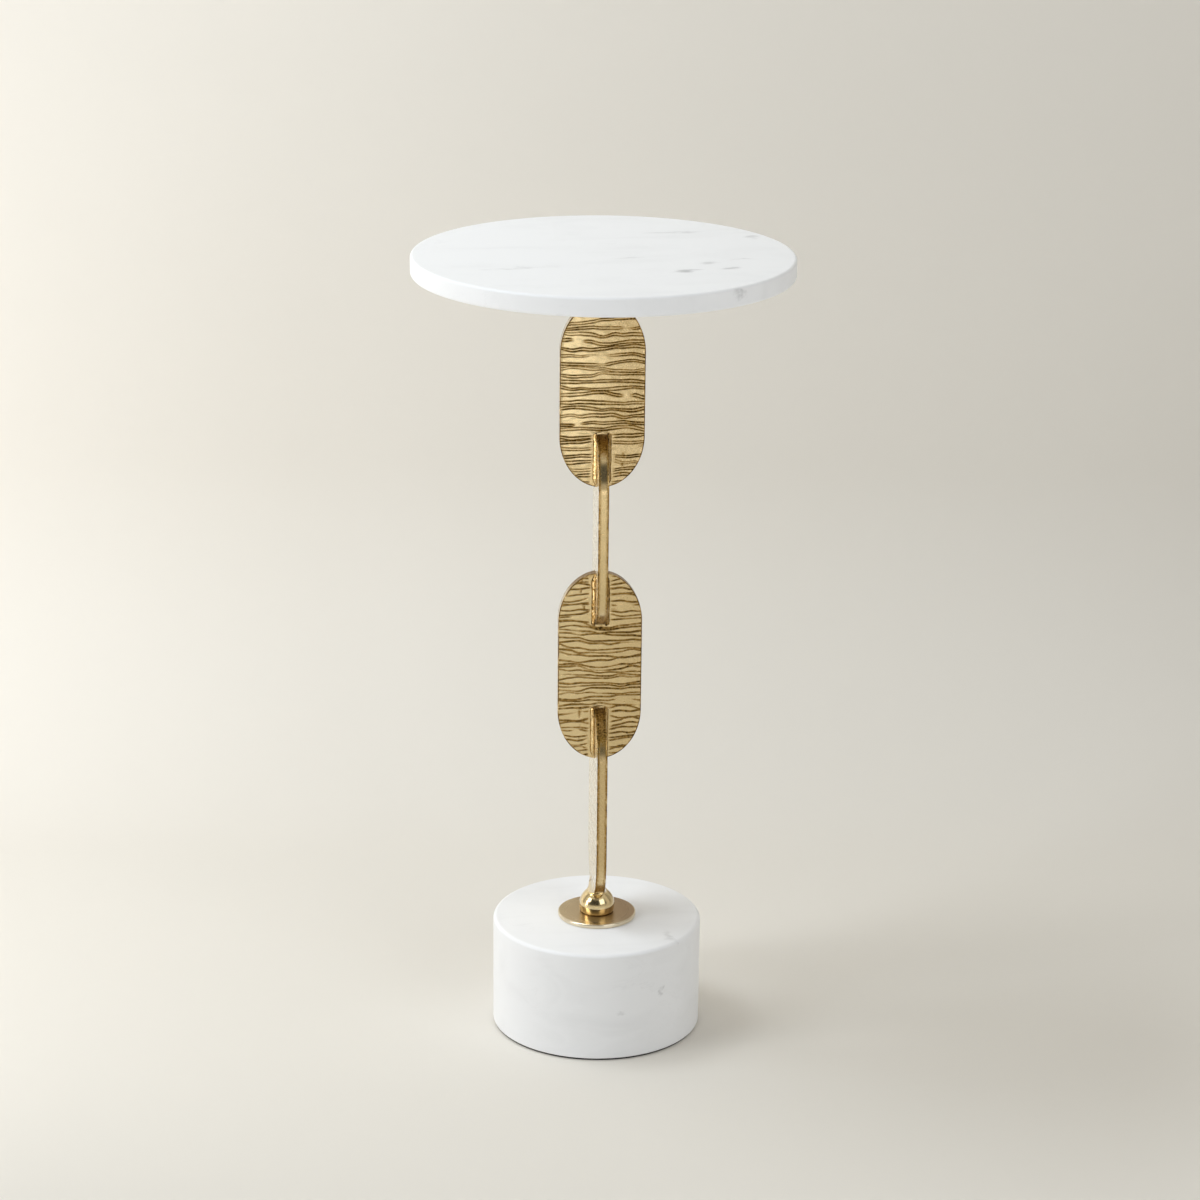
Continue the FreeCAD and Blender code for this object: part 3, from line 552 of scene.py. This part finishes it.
def marble_grey(tree):
    """Share of grey in the marble: thin veins in patches, a haze beside them, and the flecks."""
    place = add_node(tree, "ShaderNodeTexCoord").outputs["Object"]
    bedding = add_node(tree, "ShaderNodeMapping", {
        "Vector": place, "Rotation": (0.1, 0.2, math.radians(14)), "Scale": (1.0, 2.6, 2.6)}).outputs[0]
    cloud = add_node(tree, "ShaderNodeTexNoise", {
        "Vector": bedding, "Scale": 1 / (70 * MM), "Detail": 5.0, "Roughness": 0.6,
        "Distortion": 0.8}).outputs["Fac"]
    thread = add_node(tree, "ShaderNodeValToRGB", {"Fac": cloud})
    thread.color_ramp.elements[0].position = 0.485
    thread.color_ramp.elements[0].color = (0, 0, 0, 1)
    thread.color_ramp.elements[1].position = 0.515
    thread.color_ramp.elements[1].color = (0, 0, 0, 1)
    thread.color_ramp.elements.new(0.5).color = (1, 1, 1, 1)
    patch = add_node(tree, "ShaderNodeTexNoise", {"Vector": place, "Scale": 1 / (60 * MM), "Detail": 2.0})
    patchy = add_node(tree, "ShaderNodeMapRange", {
        "Value": patch.outputs["Fac"], "From Min": 0.5, "From Max": 0.75, "To Min": 0.0, "To Max": 0.1})
    vein = add_node(tree, "ShaderNodeMath", {0: thread.outputs["Color"], 1: patchy.outputs["Result"]},
                    operation="MULTIPLY")
    haze = add_node(tree, "ShaderNodeMapRange", {
        "Value": cloud, "From Min": 0.5, "From Max": 0.8, "To Min": 0.0, "To Max": 0.08})
    warp = add_node(tree, "ShaderNodeTexNoise", {
        "Vector": bedding, "Scale": 1 / (22 * MM), "Detail": 4.0, "Roughness": 0.6})
    shift = add_node(tree, "ShaderNodeVectorMath", {0: warp.outputs["Color"], 1: (0.5, 0.5, 0.5)},
                     operation="SUBTRACT")
    bent = add_node(tree, "ShaderNodeVectorMath", {0: shift.outputs[0], 1: (22 * MM,) * 3, 2: place},
                    operation="MULTIPLY_ADD").outputs[0]
    grey = add_node(tree, "ShaderNodeMath", {0: vein.outputs[0], 1: haze.outputs["Result"]},
                    operation="ADD", use_clamp=True).outputs[0]
    for mark in FLECKS:
        grey = add_node(tree, "ShaderNodeMath", {0: grey, 1: fleck(tree, bent, *mark)},
                        operation="MAXIMUM").outputs[0]
    return grey


def marble_material(colours):
    """White marble, sawn and polished: a cool white with a soft gloss, faint veins and grey flecks."""
    material, tree, output = new_material("polished_white_marble")
    ground = add_node(tree, "ShaderNodeMix", {
        "Factor": marble_grey(tree), "A": opaque(colours.marble), "B": opaque(colours.vein)},
        data_type="RGBA")
    shader = add_node(tree, "ShaderNodeBsdfPrincipled", {
        "Base Color": ground.outputs["Result"], "Roughness": 0.42, "Specular IOR Level": 0.3})
    tree.links.new(shader.outputs[0], output.inputs["Surface"])
    return material


def link_brass_material(colours):
    """Sand-cast brass, antiqued, rubbed bright and lacquered: pale gold lands, dark brown in the
    beaded grooves, and a painted pale sheen on the grained faces of the crossing links, which
    stands for their grazing reflection. The dark share also carries painted shade."""
    material, tree, output = new_material("antiqued_cast_brass")
    # The patina attribute carries patina and painted shade.
    stain_and_shade = add_node(tree, "ShaderNodeAttribute", attribute_name="patina").outputs["Fac"]
    polish = add_node(tree, "ShaderNodeAttribute", attribute_name="polish").outputs["Fac"]
    place = add_node(tree, "ShaderNodeTexCoord").outputs["Object"]
    bead = add_node(tree, "ShaderNodeTexNoise", {"Vector": place, "Scale": 1 / (1.1 * MM), "Detail": 2.0})
    beaded = add_node(tree, "ShaderNodeMapRange", {
        "Value": bead.outputs["Fac"], "From Min": 0.3, "From Max": 0.7, "To Min": 0.55, "To Max": 1.35})
    dark = add_node(tree, "ShaderNodeMath", {0: stain_and_shade, 1: beaded.outputs["Result"]},
                    operation="MULTIPLY", use_clamp=True).outputs[0]
    thin = add_node(tree, "ShaderNodeMapRange", {"Value": dark, "From Max": 0.45})
    thick = add_node(tree, "ShaderNodeMapRange", {"Value": dark, "From Min": 0.45})
    toned = add_node(tree, "ShaderNodeMix", {
        "Factor": thin.outputs["Result"], "A": opaque(colours.brass), "B": opaque(colours.tarnish_and_shade)},
        data_type="RGBA")
    skin_colour = add_node(tree, "ShaderNodeMix", {
        "Factor": thick.outputs["Result"], "A": toned.outputs["Result"], "B": opaque(colours.patina)},
        data_type="RGBA")
    clean = add_node(tree, "ShaderNodeMapRange", {
        "Value": dark, "To Min": 1.0, "To Max": 0.0}).outputs["Result"]
    # Painted sheen: a pale matt colour on the crossing links' faces, in place of the metal, that stands for
    # their bright grazing reflection.
    bloom = add_node(tree, "ShaderNodeAttribute", attribute_name="bloom").outputs["Fac"]
    matt = add_node(tree, "ShaderNodeMath", {0: bloom, 1: clean}, operation="MULTIPLY").outputs[0]
    bloomed = add_node(tree, "ShaderNodeMix", {
        "Factor": matt, "A": skin_colour.outputs["Result"], "B": opaque(colours.bloom)}, data_type="RGBA")
    metal = add_node(tree, "ShaderNodeMapRange", {"Value": matt, "To Min": 1.0, "To Max": 0.0})
    gloss = add_node(tree, "ShaderNodeMapRange", {"Value": polish, "To Min": 0.22, "To Max": 0.17})
    rough = add_node(tree, "ShaderNodeMix", {"Factor": dark, "A": gloss.outputs["Result"], "B": 0.6})
    shader = add_node(tree, "ShaderNodeBsdfPrincipled", {
        "Base Color": bloomed.outputs["Result"], "Metallic": metal.outputs["Result"],
        "Roughness": rough.outputs[0], "Coat Weight": clean, "Coat Roughness": 0.12})
    tree.links.new(shader.outputs[0], output.inputs["Surface"])
    return material


def link_brass(colours):
    """The links' brass, made once and shared by the links, the lips and the bosses."""
    return bpy.data.materials.get("antiqued_cast_brass") or link_brass_material(colours)


def mottled(tree, ground, mark, grain, share):
    """A ground colour with soft cloudy marks, a grain in mm across, mixed in by a share at most."""
    place = add_node(tree, "ShaderNodeTexCoord").outputs["Object"]
    cloud = add_node(tree, "ShaderNodeTexNoise", {
        "Vector": place, "Scale": 1 / (grain * MM), "Detail": 3.0})
    amount = add_node(tree, "ShaderNodeMapRange", {
        "Value": cloud.outputs["Fac"], "From Min": 0.35, "From Max": 0.7, "To Min": 0.0, "To Max": share})
    mixed = add_node(tree, "ShaderNodeMix", {
        "Factor": amount.outputs["Result"], "A": opaque(ground), "B": opaque(mark)}, data_type="RGBA")
    return mixed.outputs["Result"]


def satin_brass_material(colours):
    """Brass, filed smooth and left satin: soft warm reflections, with clouds of thin tarnish."""
    material, tree, output = new_material("satin_brass")
    clouded = mottled(tree, colours.brass, colours.tarnish_and_shade, 9.0, 0.4)
    shader = add_node(tree, "ShaderNodeBsdfPrincipled", {
        "Base Color": clouded, "Metallic": 1.0, "Roughness": 0.3})
    tree.links.new(shader.outputs[0], output.inputs["Surface"])
    return material


def flange_brass_material(colours):
    """Brass, turned and dulled: a soft satin disc, olive gold on one side, with painted shade making
    it browner on the other, and a painted highlight on its rim."""
    material, tree, output = new_material("satin_dull_brass")
    # Painted shade: on the flange the patina attribute holds only painted shade.
    stain_and_shade = add_node(tree, "ShaderNodeAttribute", attribute_name="patina").outputs["Fac"]
    bronze_and_shade = add_node(tree, "ShaderNodeMix", {
        "Factor": stain_and_shade, "A": opaque(colours.bronze), "B": opaque(colours.painted_shade_brown)}, data_type="RGBA")
    polish = add_node(tree, "ShaderNodeAttribute", attribute_name="polish").outputs["Fac"]
    # Painted highlight: a pale colour mixed in on the flange's rim.
    rim_wear_and_highlight = add_node(tree, "ShaderNodeMix", {
        "Factor": polish, "A": bronze_and_shade.outputs["Result"], "B": opaque(colours.bloom)}, data_type="RGBA")
    gloss = add_node(tree, "ShaderNodeMapRange", {"Value": polish, "To Min": 0.28, "To Max": 0.18})
    shader = add_node(tree, "ShaderNodeBsdfPrincipled", {
        "Base Color": rim_wear_and_highlight.outputs["Result"], "Metallic": 1.0, "Roughness": gloss.outputs["Result"]})
    tree.links.new(shader.outputs[0], output.inputs["Surface"])
    return material


def zinc_material(colours):
    """Zinc-plated steel: a cool grey metal with a satin gloss and dull clouds in the plating."""
    material, tree, output = new_material("zinc_plated_steel")
    clouded = mottled(tree, colours.zinc, colours.dull_zinc, 2.5, 0.8)
    shader = add_node(tree, "ShaderNodeBsdfPrincipled", {
        "Base Color": clouded, "Metallic": 1.0, "Roughness": 0.32})
    tree.links.new(shader.outputs[0], output.inputs["Surface"])
    return material


def felt_material(colours):
    """Pressed wool felt: a dull black with paler fibres in it and a faint sheen.

    The fibres are drawn 1.2 mm long, coarser than real ones, so that they show.
    """
    material, tree, output = new_material("pressed_black_felt")
    fibrous = mottled(tree, colours.felt, colours.lint, 1.2, 0.8)
    shader = add_node(tree, "ShaderNodeBsdfPrincipled", {
        "Base Color": fibrous, "Roughness": 0.95, "Sheen Weight": 0.3})
    tree.links.new(shader.outputs[0], output.inputs["Surface"])
    return material


def paper_material(colours):
    """Matt backdrop paper, clear when seen from behind, so that it never hides the table."""
    material, tree, output = new_material("matt_backdrop_paper")
    shader = add_node(tree, "ShaderNodeBsdfDiffuse", {"Color": opaque(colours.paper)})
    clear = add_node(tree, "ShaderNodeBsdfTransparent")
    behind = add_node(tree, "ShaderNodeNewGeometry").outputs["Backfacing"]
    mixed = add_node(tree, "ShaderNodeMixShader", {0: behind, 1: shader.outputs[0], 2: clear.outputs[0]})
    tree.links.new(mixed.outputs[0], output.inputs["Surface"])
    return material


class WINETABLE_OT_marble(bpy.types.Operator):
    """Turn the marble top and the marble base"""

    bl_idname = "wine_table.marble"
    bl_label = "Marble top and base"

    def execute(self, context):
        sizes, stone = context.scene.wine_table_sizes, marble_material(context.scene.wine_table_colours)
        recess_rim, hole_rim = 0.3, 0.4
        low, high = extent("marble_top")
        radius, rim = min(*high[:2], *-low[:2]), sizes.top_rim / MM
        recess, ceiling = sizes.nut_recess / MM / 2, low[2] + sizes.nut_recess_depth / MM
        top = rounded([(0.5 * recess, ceiling, 0), (recess, ceiling, recess_rim),
                       (recess, low[2], recess_rim), (radius, low[2], rim),
                       (radius, high[2], rim), (0.5 * radius, high[2], 0)], closed=False)
        piece("marble_top_slab", [skin(turned(top))], stone, "marble", "marble_top")
        low, high = extent("marble_base")
        radius, bore = min(*high[:2], *-low[:2]), sizes.base_bore / MM / 2
        recess, ceiling = sizes.counterbore / MM / 2, low[2] + sizes.counterbore_depth / MM
        base = rounded([(bore, high[2], hole_rim), (radius, high[2], sizes.base_upper_rim / MM),
                        (radius, low[2], sizes.base_lower_rim / MM), (recess, low[2], hole_rim),
                        (recess, ceiling, hole_rim), (bore, ceiling, hole_rim)], closed=True)
        piece("marble_base_drum", [skin(turned(base), endless=True)], stone, "marble", "marble_base")
        return {"FINISHED"}


class Link(NamedTuple):
    """An oval link: its CAD node, its seed, its turn about the stem in degrees and its finish."""

    node: str
    seed: int
    turn: float  # the crossing links were brazed a little off square
    cast: Cast


LINKS = (
    Link("upper_link", 3, 0.0, Cast(
        spacing=4.6, width=1.7, depth=0.26, wander=1.8, bend=0.8,
        patina=1.0, edge_patina=0.1, bloom=0.0)),
    Link("second_link", 107, 88.4, Cast(
        spacing=4.2, width=1.4, depth=0.1, wander=1.8, bend=1.5,
        patina=0.25, edge_patina=0.09, bloom=0.65)),
    Link("third_link", 208, 0.0, Cast(
        spacing=2.8, width=0.5, depth=0.3, wander=1.9, bend=2.6,
        patina=0.7, edge_patina=0.1, bloom=0.0)),
    Link("lowest_link", 317, 90.4, Cast(
        spacing=4.2, width=1.2, depth=0.1, wander=1.8, bend=1.5,
        patina=0.25, edge_patina=0.16, bloom=0.45)),
)


class WINETABLE_OT_links(bpy.types.Operator):
    """Cast the four oval links with their bark grooves"""

    bl_idname = "wine_table.links"
    bl_label = "Oval links"

    def execute(self, context):
        sizes, brass = context.scene.wine_table_sizes, link_brass(context.scene.wine_table_colours)
        spans = [(extent(link.node)[0][2], extent(link.node)[1][2]) for link in LINKS]
        clear_of_all = 50.0  # beyond an end link's tip, where it has no neighbour
        for n, link in enumerate(LINKS):
            low, high = spans[n]
            middle = (low + high) / 2
            lower_tip = spans[n + 1][1] - middle if n + 1 < len(LINKS) else low - middle - clear_of_all
            upper_tip = spans[n - 1][0] - middle if n > 0 else high - middle + clear_of_all
            rings, dark, polish = link_skin(link.seed, high - low, sizes, link.cast, lower_tip, upper_tip)
            x, y, z = np.moveaxis(rings, -1, 0)
            right, away = np.cos(np.radians(link.turn)), np.sin(np.radians(link.turn))
            rings = np.stack([x * right - y * away, x * away + y * right, z + middle], axis=-1)
            piece(f"{link.node}_casting", [skin(rings)], brass, "brass", link.node,
                  patina=dark, polish=polish, bloom=link.cast.bloom * (1.0 - polish))
        return {"FINISHED"}


LIPS = (
    # CAD node, share of rough brown skin
    ("upper_braze", 0.3), ("middle_braze", 0.7), ("lower_braze", 0.15),
)


class WINETABLE_OT_lips(bpy.types.Operator):
    """Run the brazed lips round the three crossings"""

    bl_idname = "wine_table.lips"
    bl_label = "Brazed lips"

    def execute(self, context):
        sizes, brass = context.scene.wine_table_sizes, link_brass(context.scene.wine_table_colours)
        for n, (node, rough) in enumerate(LIPS):
            upper, lower = LINKS[n], LINKS[n + 1]
            foot, tip = extent(upper.node)[0][2], extent(lower.node)[1][2]
            middle, reach = (tip + foot) / 2, (tip - foot) / 2
            # The horns stand by the crossing link's tip: where it comes from above, they point down.
            upright = -1 if upper.turn > 45 else 1
            skins, darks = [], []
            for corner, (right, back) in enumerate(((1, 1), (1, -1), (-1, 1), (-1, -1))):
                rings, dark = lip_skin(41 + 10 * n + corner, sizes, reach, rough)
                skins.append(skin(rings * (right, back, upright) + (0.0, 0.0, middle)))
                darks.append(dark)
            dark = np.concatenate(darks)
            piece(f"{node}_lips", skins, brass, "brass", node, patina=dark, polish=np.ones_like(dark))
        return {"FINISHED"}


class WINETABLE_OT_bosses(bpy.types.Operator):
    """Turn the two bosses and the flange"""

    bl_idname = "wine_table.bosses"
    bl_label = "Bosses and flange"

    def execute(self, context):
        sizes, colours = context.scene.wine_table_sizes, context.scene.wine_table_colours
        brass = link_brass(colours)
        low, high = extent("foot_boss")
        foot = boss_skin(sizes, low[2], high[2], high[0], extent("lowest_link")[0][2])
        low, high = extent("head_boss")
        head = boss_skin(sizes, -high[2], -low[2], high[0], -extent("upper_link")[1][2])
        # The head boss is the foot boss upside down, about a link along X.
        head = head[..., [1, 0, 2]] * (1, 1, -1)
        for name, rings, node in (("foot_boss_dome", foot, "foot_boss"),
                                  ("head_boss_dome", head, "head_boss")):
            points, faces = skin(rings)
            # Painted shade on the boss: dark reflection streaks and a shadow line at its foot.
            dark = painted_boss_shade(points, rings[0, 0, 2])
            piece(name, [(points, faces)], brass, "brass", node, patina=dark, polish=np.ones_like(dark))
        low, high = extent("foot_flange")
        bore, rim, hole_rim = sizes.flange_bore / MM / 2, sizes.disc_rim / MM, 0.2
        disc = rounded([(bore, low[2], hole_rim), (high[0], low[2], rim), (high[0], high[2], rim),
                        (bore, high[2], hole_rim)], closed=True)
        points, faces = skin(turned(disc), endless=True)
        # Painted shade on the upper face, growing to the right and the back, and a painted highlight on the
        # rim.
        upper_face = ramp(high[2] - 0.6, high[2] - 0.2, points[:, 2])
        dark = upper_face * ramp(-14.0, 16.0, points[:, 0] + 0.4 * points[:, 1])
        bright = 0.65 * ramp(high[0] - 1.2, high[0] - 0.5, np.hypot(points[:, 0], points[:, 1]))
        piece("foot_flange_disc", [(points, faces)], flange_brass_material(colours), "brass", "foot_flange",
              patina=dark, polish=bright)
        return {"FINISHED"}


class WINETABLE_OT_pad(bpy.types.Operator):
    """Cut the felt pad under the base"""

    bl_idname = "wine_table.pad"
    bl_label = "Felt pad"

    def execute(self, context):
        low, high = extent("base_pad")
        rim = context.scene.wine_table_sizes.pad_rim / MM
        disc = rounded([(0.5 * high[0], low[2], 0), (high[0], low[2], rim), (high[0], high[2], rim),
                        (0.5 * high[0], high[2], 0)], closed=False)
        felt = felt_material(context.scene.wine_table_colours)
        piece("base_pad_felt", [skin(turned(disc))], felt, "felt", "base_pad")
        return {"FINISHED"}


class WINETABLE_OT_fittings(bpy.types.Operator):
    """Finish the plate and the fasteners that the solids show as they are"""

    bl_idname = "wine_table.fittings"
    bl_label = "Plate and fasteners"

    def execute(self, context):
        colours = context.scene.wine_table_colours
        zinc, brass = zinc_material(colours), satin_brass_material(colours)
        finishes = dict.fromkeys(("top_screws", "top_stud", "stud_nut", "tie_rod", "base_washer",
                                  "lock_washer", "base_nut"), zinc)
        finishes |= dict.fromkeys(("mount_plate", "top_inserts"), brass)
        for node, finish in finishes.items():
            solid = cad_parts[node]
            solid.data.materials.clear()
            solid.data.materials.append(finish)
        return {"FINISHED"}


class Softbox(NamedTuple):
    """A square lamp: its place, what it faces and its size in metres, its power in watts, its colour.

    Places are given as the camera sees them: it stands on the -Y side.
    """

    name: str
    place: tuple
    aim: tuple
    size: float
    power: float
    rgb: tuple


SOFTBOXES = (
    Softbox("key_softbox", (-1.74, -1.0, 1.31), (0.0, 0.0, 0.3), 0.8, 11.3, (0.86, 0.94, 1.0)),
    Softbox("back_softbox", (-0.75, 0.12, 1.7), (0.0, 0.0, 0.4), 0.6, 8.9, (0.9, 0.96, 1.0)),
    Softbox("backdrop_lamp", (-1.0, -0.35, 0.3), (-1.0, 1.0, 0.3), 0.5, 5.4, (1.0, 0.98, 0.95)),
    Softbox("right_fill", (0.8, -1.0, 0.75), (0.0, 0.0, 0.3), 0.8, 4.4, (0.92, 0.97, 1.0)),
    Softbox("front_card", (-0.2, -1.9, 0.03), (-0.2, -1.9, 1.0), 1.2, 6.2, (0.96, 0.97, 1.0)),
)


class WINETABLE_OT_stage(bpy.types.Operator):
    """Set up the backdrop, the lamps, the world and the camera"""

    bl_idname = "wine_table.stage"
    bl_label = "Stage"

    def execute(self, context):
        scene, stage = context.scene, context.scene.wine_table_stage
        turn = Matrix.Rotation(stage.azimuth, 4, "Z")
        self.backdrop(scene, turn)
        for softbox in SOFTBOXES:
            self.lamp(scene, turn, softbox)
        self.surroundings(scene, turn)
        camera = bpy.data.objects.new("camera", bpy.data.cameras.new("camera"))
        camera.data.sensor_width = 36.0
        camera.data.lens = stage.lens / MM
        camera.matrix_world = (turn @ Matrix.Translation((0.0, -stage.distance, stage.height))
                               @ Matrix.Rotation(math.pi / 2 - stage.pitch, 4, "X")
                               @ Matrix.Rotation(stage.roll, 4, "Z"))
        scene.collection.objects.link(camera)
        scene.camera = camera
        scene.view_settings.view_transform = "Standard"
        return {"FINISHED"}

    def backdrop(self, scene, turn):
        """Paper sweep, in metres: a floor that bends through a quarter circle into an upright wall."""
        front, foot, bend, top, side = -8.0, 0.30, 0.25, 4.0, 6.0
        arc = np.linspace(0.0, np.pi / 2, 33)
        curve = np.stack([foot + bend * np.sin(arc), bend - bend * np.cos(arc)], axis=-1)
        profile = np.concatenate([[[front, 0.0]], curve, [[foot + bend, top]]])
        across = np.array([[-side, side]])
        points = np.stack(np.broadcast_arrays(across, profile[:, :1], profile[:, 1:]), axis=-1)
        index = np.arange(points.size // 3).reshape(-1, 2)
        faces = np.stack([index[:-1, 0], index[:-1, 1], index[1:, 1], index[1:, 0]], axis=-1)
        mesh = bpy.data.meshes.new("paper_sweep")
        mesh.from_pydata(points.reshape(-1, 3).tolist(), [], faces.tolist())
        mesh.transform(turn)
        mesh.polygons.foreach_set("use_smooth", np.ones(len(faces), dtype=bool))
        mesh.materials.append(paper_material(scene.wine_table_colours))
        sweep = bpy.data.objects.new("paper_sweep", mesh)
        scene.collection.objects.link(sweep)

    def lamp(self, scene, turn, softbox):
        """Hang a softbox at its place, facing its aim."""
        place, aim = Vector(softbox.place), Vector(softbox.aim)
        light = bpy.data.lights.new(softbox.name, "AREA")
        light.size, light.energy, light.color = softbox.size, softbox.power, softbox.rgb
        lamp = bpy.data.objects.new(softbox.name, light)
        facing = (aim - place).to_track_quat("-Z", "Y").to_matrix().to_4x4()
        lamp.matrix_world = turn @ Matrix.Translation(place) @ facing
        lamp.visible_camera = False
        scene.collection.objects.link(lamp)

    def surroundings(self, scene, turn):
        """A pale studio all round, with a dark panel behind the camera for the polished brass to show."""
        studio, panel, warm_white = 0.61, 0.05, (1.0, 0.965, 0.89, 1.0)
        world = bpy.data.worlds.new("studio")
        world.use_nodes = True
        scene.world = world
        tree = world.node_tree
        tree.nodes.clear()
        way = add_node(tree, "ShaderNodeTexCoord").outputs["Generated"]
        ahead = add_node(tree, "ShaderNodeVectorMath", {0: way, 1: turn @ Vector((0.0, -1.0, 0.0))},
                         operation="DOT_PRODUCT").outputs["Value"]
        height = add_node(tree, "ShaderNodeSeparateXYZ", {0: way}).outputs["Z"]
        dark = 1.0
        # The panel's sides, its lower edge and its upper edge, each from clear to dark.
        for value, clear, full in ((ahead, 0.2, 0.5), (height, 0.04, 0.14), (height, 0.75, 0.62)):
            border = add_node(tree, "ShaderNodeMapRange", {
                "Value": value, "From Min": clear, "From Max": full}, interpolation_type="SMOOTHSTEP")
            dark = add_node(tree, "ShaderNodeMath", {0: dark, 1: border.outputs["Result"]},
                            operation="MULTIPLY").outputs[0]
        strength = add_node(tree, "ShaderNodeMix", {"Factor": dark, "A": studio, "B": panel})
        glow = add_node(tree, "ShaderNodeBackground", {
            "Color": warm_white, "Strength": strength.outputs[0]})
        output = add_node(tree, "ShaderNodeOutputWorld")
        tree.links.new(glow.outputs[0], output.inputs["Surface"])


OPERATORS = (WINETABLE_OT_marble, WINETABLE_OT_links, WINETABLE_OT_lips, WINETABLE_OT_bosses,
             WINETABLE_OT_pad, WINETABLE_OT_fittings, WINETABLE_OT_stage)


class WINETABLE_PT_sidebar(bpy.types.Panel):
    """Sizes, colours and build steps of the wine table"""

    bl_idname = "WINETABLE_PT_sidebar"
    bl_label = "Wine Table"
    bl_space_type = "VIEW_3D"
    bl_region_type = "UI"
    bl_category = "Wine Table"

    def draw(self, context):
        for group in (context.scene.wine_table_sizes, context.scene.wine_table_colours,
                      context.scene.wine_table_stage):
            box = self.layout.box()
            for key in group.__annotations__:
                box.prop(group, key)
        for operator in OPERATORS:
            self.layout.operator(operator.bl_idname)


CLASSES = (WineTableSizes, WineTableColours, WineTableStage, *OPERATORS, WINETABLE_PT_sidebar)


def register():
    """Add the classes, and the groups of values to each scene."""
    for kind in CLASSES:
        bpy.utils.register_class(kind)
    bpy.types.Scene.wine_table_sizes = bpy.props.PointerProperty(type=WineTableSizes)
    bpy.types.Scene.wine_table_colours = bpy.props.PointerProperty(type=WineTableColours)
    bpy.types.Scene.wine_table_stage = bpy.props.PointerProperty(type=WineTableStage)


def unregister():
    """Take away what register added."""
    del bpy.types.Scene.wine_table_stage
    del bpy.types.Scene.wine_table_colours
    del bpy.types.Scene.wine_table_sizes
    for kind in reversed(CLASSES):
        bpy.utils.unregister_class(kind)


def main():
    """Build the whole table and its stage."""
    register()
    bpy.ops.wine_table.marble()
    bpy.ops.wine_table.links()
    bpy.ops.wine_table.lips()
    bpy.ops.wine_table.bosses()
    bpy.ops.wine_table.pad()
    bpy.ops.wine_table.fittings()
    bpy.ops.wine_table.stage()


if __name__ == "__main__":
    main()
